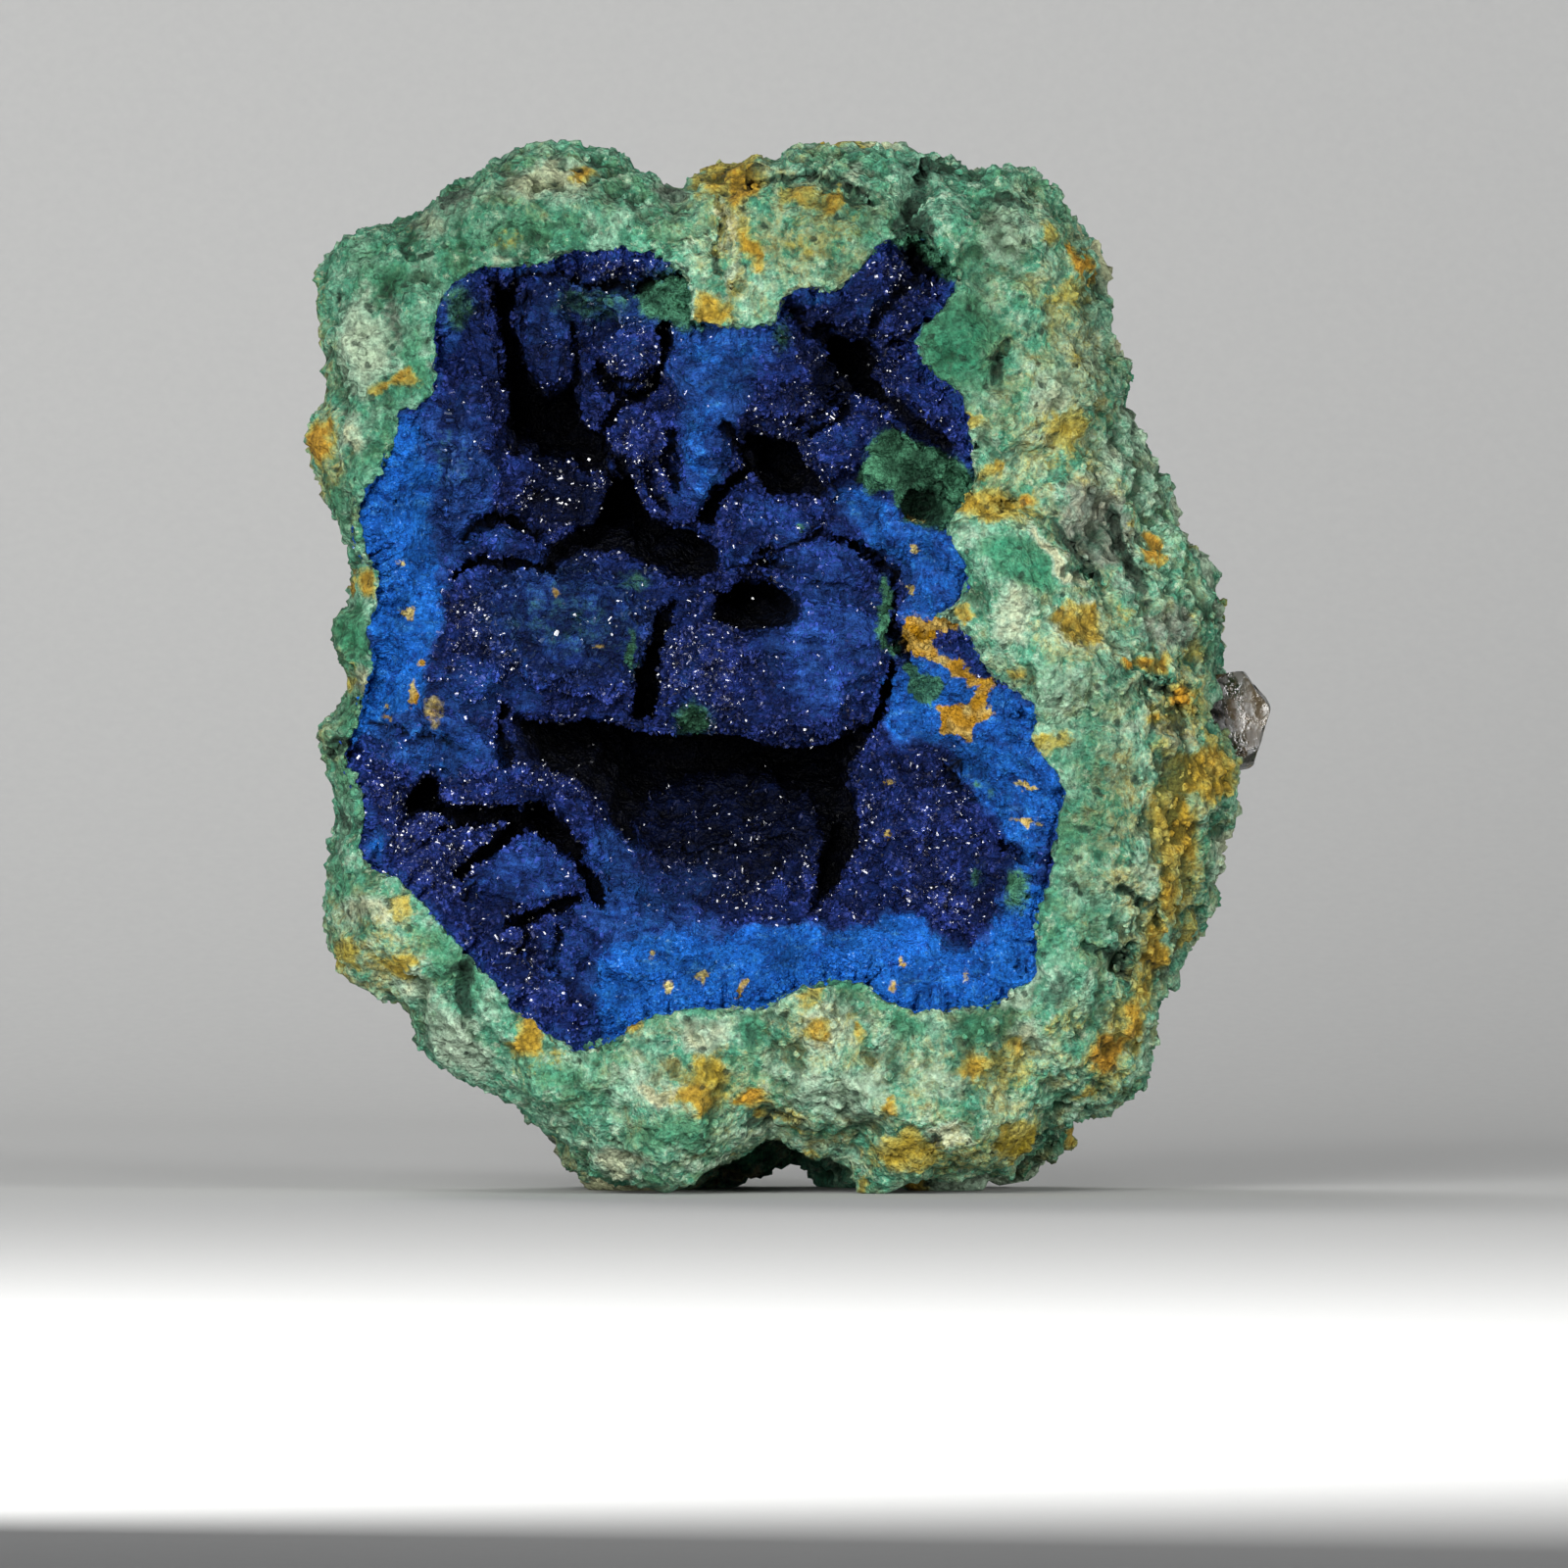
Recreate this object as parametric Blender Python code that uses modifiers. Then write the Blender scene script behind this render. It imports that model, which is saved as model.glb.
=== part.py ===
"""A broken-open nodule: azurite lines the hollow of a malachite-stained host rock, with one quartz grain in its side.

The specimen stands on its base. +X is to the right and +Y away from the broken face, which looks along -Y.
Lists are in millimetres, seen from the front as (x, z), and MM turns them into Blender's metres.
"""

import math

import bmesh
import bpy
import numpy as np
from mathutils import Matrix, Vector, noise

MM = 0.001

# ---------------------------------------------------------------- driving dimensions, in millimetres
FACE_Y = -27.0  # the broken face
BACK_Y = 25.0  # the back, before its lumps
CENTRE = (-1.0, 0.0, 47.0)  # middle of the rock, from which its surface is found
JOINT_GAP = 0.3  # between the rock and what sits in it

# How the edge of the rock rolls away from the broken face: (width seen from the front, depth).
ROLL = {"left": (4.0, 9.0), "right": (15.0, 21.0), "top": (7.0, 13.0), "bottom": (8.0, 12.0)}
BACK_ROLL = 24.0
BACK_WAVES = 2.8  # height of the broad lumps on the back

# The rock's outline, clockwise from the upper end of its left edge.
LEFT_EDGE = [
    (-35.0, 17.9), (-37.5, 19.0), (-40.0, 20.5), (-41.6, 22.6), (-42.4, 24.8), (-42.4, 26.6), (-42.0, 28.2),
    (-42.9, 30.1), (-42.1, 32.4), (-41.9, 34.0), (-41.0, 35.0), (-41.5, 36.6), (-42.0, 38.6), (-42.7, 41.2),
    (-43.5, 42.1), (-42.3, 43.7), (-40.4, 45.9), (-40.5, 48.0), (-41.2, 50.4), (-40.7, 52.6), (-39.3, 54.1),
    (-39.5, 56.0), (-39.0, 57.7), (-40.1, 60.0), (-42.0, 62.1), (-42.7, 64.6), (-42.7, 66.6), (-44.0, 68.2),
    (-43.0, 70.0), (-42.3, 72.4), (-42.3, 76.0), (-42.6, 78.3), (-42.1, 80.2), (-42.7, 82.6),
]
TOP_EDGE = [
    (-41.9, 86.1), (-40.0, 87.6), (-36.6, 89.2), (-34.0, 90.4), (-31.7, 92.4), (-29.5, 93.6), (-27.0, 94.6),
    (-25.0, 95.9), (-23.4, 96.1), (-22.2, 95.3), (-20.3, 96.4), (-18.0, 95.6), (-16.1, 96.1), (-15.2, 94.8),
    (-12.4, 93.9), (-11.0, 92.8), (-9.4, 92.6), (-8.6, 93.5), (-5.2, 94.8), (-3.8, 96.1), (-0.6, 95.9),
    (1.8, 97.4), (5.4, 97.0), (8.6, 96.8), (10.4, 95.7), (14.5, 95.6), (16.3, 94.7), (18.0, 93.3), (20.0, 94.3),
    (23.0, 93.5), (25.4, 92.0), (26.8, 90.0),
]
RIGHT_EDGE = [
    (29.7, 86.6), (29.6, 84.0), (29.5, 81.8), (30.8, 78.2), (31.8, 76.8), (32.5, 74.6), (31.8, 72.4),
    (32.8, 71.4), (33.1, 69.2), (34.4, 67.6), (35.5, 65.0), (36.6, 62.2), (37.5, 59.6), (39.3, 57.8),
    (40.1, 55.6), (41.4, 53.9), (41.5, 51.6), (41.2, 48.6), (41.1, 45.0), (41.9, 41.5), (42.5, 38.6),
    (41.4, 35.6), (40.3, 32.6), (40.0, 28.6), (39.6, 26.0), (37.9, 23.1), (36.7, 20.9), (34.2, 18.2),
    (34.4, 15.9), (33.9, 12.4),
]
BOTTOM_EDGE = [
    (32.2, 9.4), (29.4, 6.9), (26.4, 5.7), (24.2, 4.0), (22.4, 2.2), (20.2, 0.9), (17.0, 0.8), (15.6, 1.5),
    (13.0, 1.0), (10.2, 0.6), (8.0, -0.4), (6.9, 0.6), (6.6, 2.4), (4.0, 3.3), (2.4, 2.6), (0.6, 3.8),
    (-1.4, 4.3), (-4.2, 3.2), (-6.6, 2.0), (-9.0, 0.9), (-12.4, 0.7), (-15.2, 1.3), (-18.2, 2.9),
    (-20.4, 5.0), (-23.4, 6.5), (-26.2, 8.8), (-29.2, 9.9), (-31.6, 12.0), (-33.6, 14.4), (-34.3, 17.0),
]
ROCK_OUTLINE = LEFT_EDGE + TOP_EDGE + RIGHT_EDGE + BOTTOM_EDGE

# Where the azurite meets the rock on the broken face, clockwise from its lowest left corner.
AZURITE_OUTLINE = [
    (-24.5, 17.6), (-27.6, 21.2), (-31.0, 24.7), (-33.6, 27.9), (-36.0, 29.8), (-38.2, 31.0), (-38.5, 32.4),
    (-38.0, 34.4), (-38.2, 37.2), (-39.4, 39.4), (-39.5, 41.4), (-38.5, 43.2), (-37.6, 46.4), (-36.7, 49.0),
    (-37.9, 51.6), (-36.7, 54.0), (-36.8, 56.8), (-38.3, 59.8), (-38.5, 62.8), (-36.8, 65.4), (-35.3, 68.2),
    (-34.8, 71.6), (-33.4, 71.4), (-31.6, 73.4), (-31.0, 77.2), (-31.6, 80.4), (-30.2, 83.0), (-27.8, 84.3),
    (-23.2, 84.5), (-19.4, 85.6), (-15.2, 86.1), (-12.4, 85.6), (-10.2, 84.4), (-9.0, 83.4), (-9.2, 79.6),
    (-6.0, 78.8), (-1.0, 79.0), (0.2, 80.6), (0.4, 82.4), (5.2, 82.2), (7.4, 84.7), (10.0, 87.0), (12.0, 87.6),
    (13.6, 86.0), (15.6, 83.9), (14.8, 81.8), (12.2, 79.6), (11.4, 77.6), (13.2, 74.6), (15.8, 72.6),
    (16.6, 69.4), (17.0, 66.0), (15.6, 62.8), (14.2, 61.0), (16.3, 57.6), (15.8, 54.8), (13.4, 52.9),
    (15.6, 51.6), (17.4, 49.0), (19.2, 46.6), (22.6, 44.6), (22.4, 41.2), (24.6, 38.6), (25.2, 36.4),
    (24.2, 33.6), (23.9, 29.6), (22.4, 25.6), (22.8, 20.2), (18.6, 17.9), (13.0, 17.2), (9.8, 18.0),
    (7.6, 19.8), (4.6, 20.4), (1.2, 19.6), (-2.2, 17.6), (-7.0, 17.8), (-12.6, 16.8), (-15.6, 15.0),
    (-19.4, 13.9), (-21.6, 15.6),
]

SLAB_BACK_Y = 13.0  # flat backs inside the rock of the shapes that cut the azurite and its socket
CRUST_THICKNESS = 2.8  # of the azurite over the rock behind it
CRUST_REACH = 2.4  # how far to the sides the rock keeps clear of a cleft in the azurite

# Rounded masses that stand out of the rock's face: (x, z, half width, half height, turn in degrees, rise).
ROCK_LOBES = [
    (-23.0, 92.2, 6.0, 3.0, 8, 1.2), (-14.0, 91.8, 4.0, 2.4, -10, 0.9), (-33.0, 88.4, 5.0, 3.0, 30, 0.9),
    (-38.8, 80.0, 3.0, 6.0, 0, 1.0), (-34.0, 77.0, 2.4, 7.0, 0, 0.8), (-39.6, 68.0, 2.6, 4.0, -10, 1.0),
    (-4.4, 87.0, 1.3, 5.4, -4, 1.8), (3.0, 87.0, 4.4, 4.0, 0, 1.1), (17.0, 89.0, 5.0, 4.0, 0, 1.1),
    (23.0, 85.6, 4.0, 5.6, 10, 0.9), (16.0, 77.5, 4.6, 4.6, 20, 1.4), (22.0, 72.0, 4.6, 5.0, 0, 1.1),
    (20.5, 57.5, 5.4, 4.4, -20, 2.0), (22.0, 52.0, 5.0, 4.0, 0, 1.3), (25.8, 46.8, 5.2, 3.4, 0, 1.8),
    (27.8, 38.6, 4.0, 4.6, 0, 0.9), (26.2, 27.0, 3.4, 5.4, 0, 1.0), (30.0, 31.0, 3.6, 5.0, 0, 0.8),
    (27.0, 18.6, 4.2, 3.0, 20, 0.9), (16.0, 13.6, 6.0, 3.0, 0, 1.2), (4.0, 16.0, 4.4, 3.4, 0, 1.6),
    (3.0, 9.6, 6.4, 3.4, -10, 1.5), (13.0, 6.6, 6.4, 3.6, 0, 1.6), (22.0, 6.6, 3.6, 3.2, 10, 1.3),
    (-8.0, 13.0, 5.0, 2.6, 10, 1.3), (-9.4, 9.4, 4.4, 1.7, 4, 1.6), (-10.6, 4.2, 8.0, 3.4, 6, 1.8),
    (-20.0, 10.2, 5.4, 2.6, -34, 1.2), (-23.6, 14.4, 1.6, 2.6, -30, 1.3), (-31.0, 15.4, 4.6, 2.6, -52, 1.0),
    (-36.4, 24.6, 3.4, 3.4, -30, 1.1), (-40.2, 28.4, 2.0, 2.6, 0, 0.8),
]

# Hollows and pits in the rock's face: (x, z, half width, half height, turn, depth).
ROCK_PITS = [
    (-9.8, 92.4, 1.6, 2.6, 0, 3.0), (-6.2, 87.4, 0.7, 4.2, -6, 1.5), (12.0, 89.2, 1.7, 2.8, -14, 3.4),
    (20.4, 91.4, 1.5, 0.6, 10, 1.6), (19.6, 75.8, 0.5, 2.0, -20, 1.6), (28.6, 60.6, 3.0, 3.4, 30, 1.8),
    (24.8, 66.6, 1.6, 1.8, 0, 1.3), (31.2, 48.2, 1.4, 0.8, 0, 1.6), (27.0, 44.0, 0.5, 1.7, -50, 1.3),
    (33.6, 26.6, 1.0, 1.0, 0, 1.6), (31.4, 22.0, 1.3, 1.2, 0, 1.5), (20.0, 10.6, 2.4, 0.8, 20, 1.0),
    (-2.6, 6.8, 1.9, 0.9, -38, 2.4), (-29.6, 19.4, 1.1, 2.2, 14, 1.9), (-16.0, 7.4, 3.4, 0.6, 4, 1.1),
    (-34.4, 86.4, 2.2, 1.0, 20, 1.4), (-37.6, 50.8, 0.8, 0.8, 0, 1.6), (15.0, 4.2, 0.9, 1.0, 0, 1.4),
    (31.0, 71.8, 2.4, 0.6, 14, 1.4), (-19.4, 94.4, 1.1, 0.6, 10, 1.2), (9.0, 92.4, 7.6, 0.6, -4, 1.5),
    (-20.4, 13.2, 0.8, 1.8, 0, 1.2), (-41.0, 41.8, 1.2, 1.0, 0, 1.5),
]

# The slope right of this line drops away from the broken face: (x, z) points and the drop.
RIGHT_STEP = [(17.0, 64.0), (22.4, 61.0), (25.6, 58.6), (28.4, 55.0), (30.4, 49.8)]
RIGHT_STEP_DROP = 2.6

# Round lumps fused onto the rock's edge: (x, depth behind the face, z, half sizes along x, y and z).
EDGE_LUMPS = [
    (-23.6, 10.0, 93.2, 2.8, 4.6, 2.4), (-19.4, 13.0, 93.6, 2.4, 4.2, 2.3), (-16.2, 11.0, 93.4, 1.7, 3.4, 2.2),
    (-3.0, 10.0, 93.2, 2.7, 4.4, 2.4), (2.4, 12.0, 94.2, 2.7, 4.8, 2.6), (5.6, 8.0, 93.4, 1.9, 2.8, 1.7),
    (8.4, 11.0, 94.2, 2.0, 3.6, 2.1), (13.4, 13.0, 92.8, 2.9, 5.0, 2.5), (20.4, 12.0, 91.6, 2.6, 4.8, 2.3),
    (-42.2, 8.0, 69.0, 1.7, 3.0, 1.9), (-38.0, 7.0, 55.8, 1.8, 3.6, 2.0), (-39.6, 7.0, 50.6, 1.8, 4.2, 2.7),
    (-41.6, 8.0, 42.3, 1.8, 3.8, 1.7), (30.0, 19.0, 74.8, 1.7, 4.0, 1.9), (30.6, 18.0, 70.4, 1.6, 3.4, 1.5),
    (7.9, 12.0, 2.2, 1.3, 2.4, 2.9), (20.0, 14.0, 4.0, 2.9, 4.6, 3.4),
]

# What the specimen stands on: (x, y, z, half sizes), fused to the rock and worn flat at z = 0.
FEET = [
    (-12.4, 0.5, 5.0, 8.4, 10.0, 6.1), (-7.4, 11.0, 6.0, 9.0, 9.0, 6.9), (-17.0, 12.0, 8.0, 7.0, 8.0, 7.0),
    (15.4, -1.0, 5.4, 7.4, 8.6, 6.3), (19.6, 9.0, 6.4, 7.4, 9.0, 6.8), (9.4, 14.0, 7.0, 8.0, 7.6, 7.3),
]

# Lumps that fill out the back behind the notches of the outline.
BACK_LUMPS = [
    (-9.0, 9.0, 80.0, 15.0, 15.0, 11.4), (14.0, 13.0, 77.0, 13.0, 13.0, 13.6), (-26.0, 8.0, 70.0, 15.0, 15.6, 19.0),
    (2.0, 9.0, 12.0, 13.0, 14.0, 8.4), (22.0, 9.0, 34.0, 17.0, 15.0, 22.0), (-24.0, 10.0, 30.0, 16.0, 13.4, 18.0),
    (0.0, 12.0, 50.0, 22.0, 13.0, 24.0),
]

# Azurite masses between the clefts: (x, z, half width, half height, turn, rise above the sunken floor).
BLOCKS = [
    (-0.6, 48.6, 10.4, 7.6, 4, 4.2), (1.0, 58.2, 8.0, 3.0, -6, 2.6), (-19.4, 51.6, 8.8, 6.0, -8, 3.2),
    (-29.0, 50.4, 4.2, 5.4, 0, 2.4), (-30.8, 41.2, 6.6, 3.0, -4, 2.6), (-25.0, 59.2, 3.2, 2.0, -8, 3.0),
    (-23.4, 29.0, 4.8, 3.6, 6, 2.6), (-31.0, 31.0, 4.6, 3.6, 20, 2.4), (-28.4, 37.0, 3.0, 1.5, 0, 2.2),
    (-18.6, 33.8, 1.7, 4.4, 34, 2.4), (-14.8, 24.4, 7.0, 4.4, -24, 2.2), (-24.0, 21.6, 4.0, 4.0, -40, 2.0),
    (12.4, 33.0, 5.6, 8.4, 6, 2.6), (10.6, 66.6, 3.8, 3.4, -30, 2.8), (6.6, 61.6, 5.8, 2.4, -20, 2.6),
    (-7.0, 73.0, 4.2, 6.2, 10, 3.4), (-6.8, 66.6, 3.4, 3.4, 0, 2.4), (-13.9, 76.0, 2.6, 2.2, 0, 3.2),
    (-12.9, 69.0, 2.9, 3.0, 10, 3.0), (-17.7, 72.6, 1.1, 3.6, 8, 2.6), (-21.8, 78.8, 2.7, 5.4, 6, 2.2),
    (-12.6, 81.6, 5.4, 1.8, -4, 3.4), (-28.6, 70.0, 3.4, 6.0, 0, 2.6), (-28.8, 63.6, 3.4, 4.0, 0, 2.4),
    (3.6, 67.6, 3.0, 3.2, 20, 2.2), (0.2, 74.6, 3.6, 3.6, 0, 2.0), (12.2, 78.2, 2.8, 4.0, 30, 3.0),
    (7.4, 82.4, 3.4, 2.8, 30, 1.6), (12.0, 72.4, 2.4, 3.4, 40, 2.8), (-3.4, 60.6, 2.4, 3.6, 0, 2.6),
    (-20.6, 70.0, 1.9, 1.5, 0, -3.0), (-20.0, 64.0, 4.4, 3.2, 0, -2.0),
]

# Wide clefts and holes in the azurite: points, depth, width of their sloping bank, and how far the floor
# lies up or to the right of the mouth for each millimetre of depth (x, z).
CLEFTS = {
    "great_hollow": (
        [(-25.4, 43.6), (-18.0, 43.2), (-12.0, 42.2), (-5.0, 42.0), (1.0, 41.0), (4.0, 41.0), (5.8, 42.4),
         (8.4, 43.6), (7.4, 41.2), (5.8, 38.5), (6.8, 35.6), (6.9, 32.4), (5.6, 29.2), (2.4, 25.6),
         (3.4, 29.6), (4.6, 33.6), (1.0, 33.0), (-6.0, 32.0), (-12.4, 31.0), (-15.6, 33.6), (-17.6, 37.4),
         (-21.4, 38.6)],
        18.0, 2.4, (0.0, 0.32)),
    "great_hollow_floor": (
        [(-14.0, 31.6), (-6.0, 33.0), (4.0, 33.6), (2.0, 26.6), (-4.0, 27.0), (-11.0, 28.6)],
        6.0, 5.0, (0.0, 0.2)),
    "mouth": (
        [(-6.9, 52.4), (-6.2, 54.6), (-4.6, 55.6), (-1.6, 55.8), (0.6, 55.0), (1.6, 53.6), (0.6, 52.0),
         (-1.6, 51.5), (-4.4, 51.4)],
        13.0, 0.9, (0.0, 0.22)),
    "upper_left_hollow": (
        [(-25.2, 74.6), (-24.2, 77.0), (-23.2, 75.2), (-21.6, 72.9), (-20.2, 73.9), (-19.2, 75.2),
         (-18.8, 72.4), (-18.6, 70.0), (-17.0, 69.4), (-16.2, 71.6), (-15.4, 73.2), (-13.8, 73.4),
         (-15.6, 71.4), (-16.4, 68.6), (-15.9, 66.2), (-19.0, 66.6), (-22.6, 66.4), (-24.9, 68.2),
         (-25.4, 71.0)],
        12.0, 1.0, (0.0, 0.18)),
    "left_of_middle_hollow": (
        [(-21.8, 59.6), (-17.6, 61.4), (-16.4, 63.4), (-16.0, 66.2), (-13.8, 66.0), (-12.8, 62.8),
         (-11.0, 61.0), (-8.2, 60.8), (-6.2, 59.0), (-5.9, 57.0), (-8.0, 56.4), (-11.6, 57.4),
         (-15.4, 59.2), (-18.6, 58.8), (-20.4, 57.6), (-22.0, 57.6)],
        14.0, 1.1, (0.0, 0.2)),
    "upper_right_hollow": (
        [(1.6, 79.3), (3.6, 79.4), (6.2, 78.5), (7.6, 78.9), (8.4, 77.6), (8.4, 75.4), (9.6, 73.2),
         (12.4, 70.9), (15.3, 68.4), (14.8, 67.6), (12.6, 69.0), (10.8, 70.8), (9.4, 71.7), (6.0, 71.9),
         (3.2, 72.6), (2.0, 74.6), (3.4, 77.2)],
        11.0, 1.3, (0.0, 0.16)),
    "right_top_cleft": (
        [(8.2, 79.2), (10.6, 82.2), (12.6, 83.9), (15.4, 84.0), (13.4, 85.6), (11.8, 87.4), (10.4, 86.4),
         (11.2, 84.4), (9.6, 82.8), (7.9, 80.2)],
        9.0, 0.9, (0.0, 0.1)),
    "middle_hollow": (
        [(-4.4, 69.8), (-2.0, 69.6), (0.6, 69.0), (1.8, 67.4), (3.2, 65.8), (4.3, 64.6), (3.6, 63.8),
         (0.6, 64.0), (-1.8, 64.2), (-2.8, 65.8), (-3.2, 67.6)],
        10.0, 1.0, (0.0, 0.18)),
    "green_pit": (
        [(9.7, 64.0), (10.8, 65.6), (13.0, 66.0), (15.0, 64.8), (15.1, 62.8), (14.0, 61.4), (12.4, 60.8),
         (10.4, 61.8)],
        7.0, 2.2, (0.1, -0.1)),
    "lower_left_hole": (
        [(-35.2, 36.4), (-34.0, 37.4), (-33.0, 38.8), (-31.9, 38.6), (-31.4, 36.8), (-31.5, 35.3),
         (-33.0, 34.8), (-34.8, 34.7)],
        8.0, 0.7, (0.0, 0.16)),
    "fork_hole": (
        [(-24.3, 34.2), (-22.4, 35.8), (-20.6, 34.9), (-19.6, 33.2), (-18.2, 31.9), (-18.3, 30.6),
         (-19.8, 30.9), (-21.2, 31.9), (-22.6, 33.3)],
        9.0, 0.8, (0.0, 0.14)),
    "wedge": (
        [(-10.3, 54.0), (-10.9, 51.4), (-11.2, 48.4), (-11.5, 45.6), (-12.0, 43.6), (-13.8, 43.6),
         (-13.6, 46.4), (-13.0, 49.0), (-12.2, 51.6), (-11.0, 53.8)],
        11.0, 0.5, (0.0, 0.0)),
    "sunken_strip": (
        [(-21.6, 84.2), (-18.0, 83.4), (-14.0, 82.9), (-12.2, 83.4), (-11.4, 84.4), (-12.6, 85.4),
         (-15.2, 85.9), (-18.6, 85.4)],
        3.4, 0.6, (0.0, 0.1)),
    "left_wall_shadow": (
        [(-28.6, 84.0), (-24.4, 84.0), (-24.8, 80.0), (-24.4, 74.6), (-26.0, 73.0), (-27.6, 76.0),
         (-28.2, 80.0)],
        4.2, 1.4, (0.0, 0.0)),
}

# Narrow cracks: points, half width, depth. The same list form serves the azurite and the rock.
CRACKS = [
    ([(-24.6, 83.6), (-25.4, 81.6), (-25.3, 79.0), (-24.7, 77.0), (-24.6, 74.6)], 0.75, 8.0),
    ([(-24.4, 84.0), (-22.0, 84.2), (-20.2, 84.5), (-18.6, 83.3), (-16.0, 82.9), (-13.4, 82.9), (-11.6, 83.9),
      (-9.8, 84.3)], 0.4, 4.0),
    ([(-14.0, 73.2), (-12.2, 73.5), (-11.4, 75.4), (-10.9, 77.4), (-11.0, 79.0)], 0.45, 6.0),
    ([(-29.2, 60.4), (-27.4, 61.6), (-25.4, 62.5), (-23.0, 62.0)], 0.4, 4.0),
    ([(-25.8, 57.6), (-23.4, 57.5), (-21.2, 57.3)], 0.4, 4.0),
    ([(-7.2, 62.0), (-6.2, 64.0), (-4.8, 65.2), (-3.4, 66.8)], 0.5, 5.0),
    ([(-9.6, 70.6), (-10.2, 67.2), (-9.4, 64.4)], 0.35, 2.4),
    ([(-31.6, 35.1), (-29.0, 34.8), (-27.0, 34.9), (-24.6, 34.6)], 0.5, 5.0),
    ([(-29.8, 29.2), (-28.4, 30.8), (-26.2, 31.9), (-24.2, 34.0)], 0.6, 5.0),
    ([(-33.2, 31.8), (-31.8, 33.2), (-29.6, 34.0)], 0.35, 2.6),
    ([(-18.8, 31.0), (-18.2, 29.2), (-16.8, 26.9)], 0.5, 5.0),
    ([(-24.8, 24.6), (-23.4, 25.8), (-21.6, 26.1), (-18.6, 27.2)], 0.5, 3.6),
    ([(-23.4, 25.6), (-23.8, 22.8)], 0.3, 2.0),
    ([(6.4, 59.6), (8.4, 58.1), (10.0, 57.0), (10.4, 54.6), (9.9, 51.8), (11.2, 49.6)], 0.45, 4.0),
    ([(9.8, 48.6), (9.3, 46.0), (8.8, 44.2), (7.8, 43.0)], 0.4, 5.0),
    ([(3.6, 60.4), (6.4, 59.6)], 0.3, 1.8),
    ([(0.1, 82.2), (0.8, 80.6), (1.8, 79.4)], 0.4, 4.0),
    ([(15.2, 39.0), (15.7, 37.2), (17.4, 36.2), (18.6, 34.4)], 0.3, 1.6),
    ([(20.0, 32.2), (22.2, 30.6)], 0.3, 1.6),
    ([(-25.6, 44.6), (-26.0, 42.0), (-25.2, 39.6)], 0.5, 3.0),
    ([(0.2, 51.0), (0.8, 48.4), (3.2, 47.4), (5.4, 48.8)], 0.3, 1.4),
    ([(-20.8, 24.8), (-21.4, 20.6)], 0.3, 1.6),
]

AZURITE_SINK = (1.0, 5.0, 9.0)  # the floor between the blocks: depth at the rim, at the middle, bank width

QUARTZ_AT = (41.0, -6.0, 43.5)
QUARTZ_HALF = (4.4, 3.4, 5.4)
QUARTZ_CUTS = [  # flat broken faces: a point on each, from the grain's centre, and its outward direction
    ((2.9, 0.0, 2.6), (0.80, -0.1, 0.6)), ((3.0, 0.0, -1.6), (0.95, 0.1, -0.3)), ((0.0, -2.1, 0.0), (0.2, -1.0, 0.1)),
    ((0.0, 0.0, 4.3), (-0.1, 0.1, 1.0)), ((0.0, 0.0, -4.7), (0.25, -0.2, -1.0)), ((0.6, 2.3, 0.0), (0.2, 1.0, 0.1)),
]

ROCK_TRIANGLES = 4000
CRUST_TRIANGLES = 5700
BACKING_TRIANGLES = 1000
KEEP_STRENGTH = 0.0001  # how far the finer front is preferred to the plainer back when triangles are thinned


# ---------------------------------------------------------------- shape functions, in millimetres
def turned(x, z, cx, cz, degrees):
    """x and z from a centre, in axes turned anticlockwise by that angle."""
    a = math.radians(degrees)
    u = (x - cx) * math.cos(a) + (z - cz) * math.sin(a)
    w = -(x - cx) * math.sin(a) + (z - cz) * math.cos(a)
    return u, w


def smooth(t):
    t = np.clip(t, 0.0, 1.0)
    return t * t * (3.0 - 2.0 * t)


def line_distance(x, z, points, closed=False):
    """Distance from each place to a line through the points."""
    ends = points[1:] + points[:1] if closed else points[1:]
    least = np.full(np.shape(x), 1e9)
    for (ax, az), (bx, bz) in zip(points, ends):
        dx, dz = bx - ax, bz - az
        t = np.clip(((x - ax) * dx + (z - az) * dz) / (dx * dx + dz * dz), 0.0, 1.0)
        least = np.minimum(least, np.hypot(x - ax - t * dx, z - az - t * dz))
    return least


def inside_distance(x, z, outline):
    """Distance to an outline, positive inside it."""
    inside = np.zeros(np.shape(x), bool)
    for (ax, az), (bx, bz) in zip(outline, outline[1:] + outline[:1]):
        crosses = (az > z) != (bz > z)
        if az != bz:
            inside ^= crosses & (x < (bx - ax) * (z - az) / (bz - az) + ax)
    return np.where(inside, 1.0, -1.0) * line_distance(x, z, outline, closed=True)


def ellipse_share(x, z, cx, cz, half_x, half_z, degrees):
    """0 at the centre of a turned ellipse and 1 on its edge."""
    u, w = turned(x, z, cx, cz, degrees)
    return np.hypot(u / half_x, w / half_z)


def roll_at(x, z):
    """Width and depth of the rolled edge on this side of the rock."""
    away_x, away_z = x - CENTRE[0], z - CENTRE[2]
    length = np.hypot(away_x, away_z) + 1e-6
    shares = {
        "left": np.maximum(-away_x / length, 0.0) ** 2, "right": np.maximum(away_x / length, 0.0) ** 2,
        "top": np.maximum(away_z / length, 0.0) ** 2, "bottom": np.maximum(-away_z / length, 0.0) ** 2,
    }
    width = sum(share * ROLL[side][0] for side, share in shares.items())
    depth = sum(share * ROLL[side][1] for side, share in shares.items())
    return width, depth


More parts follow.
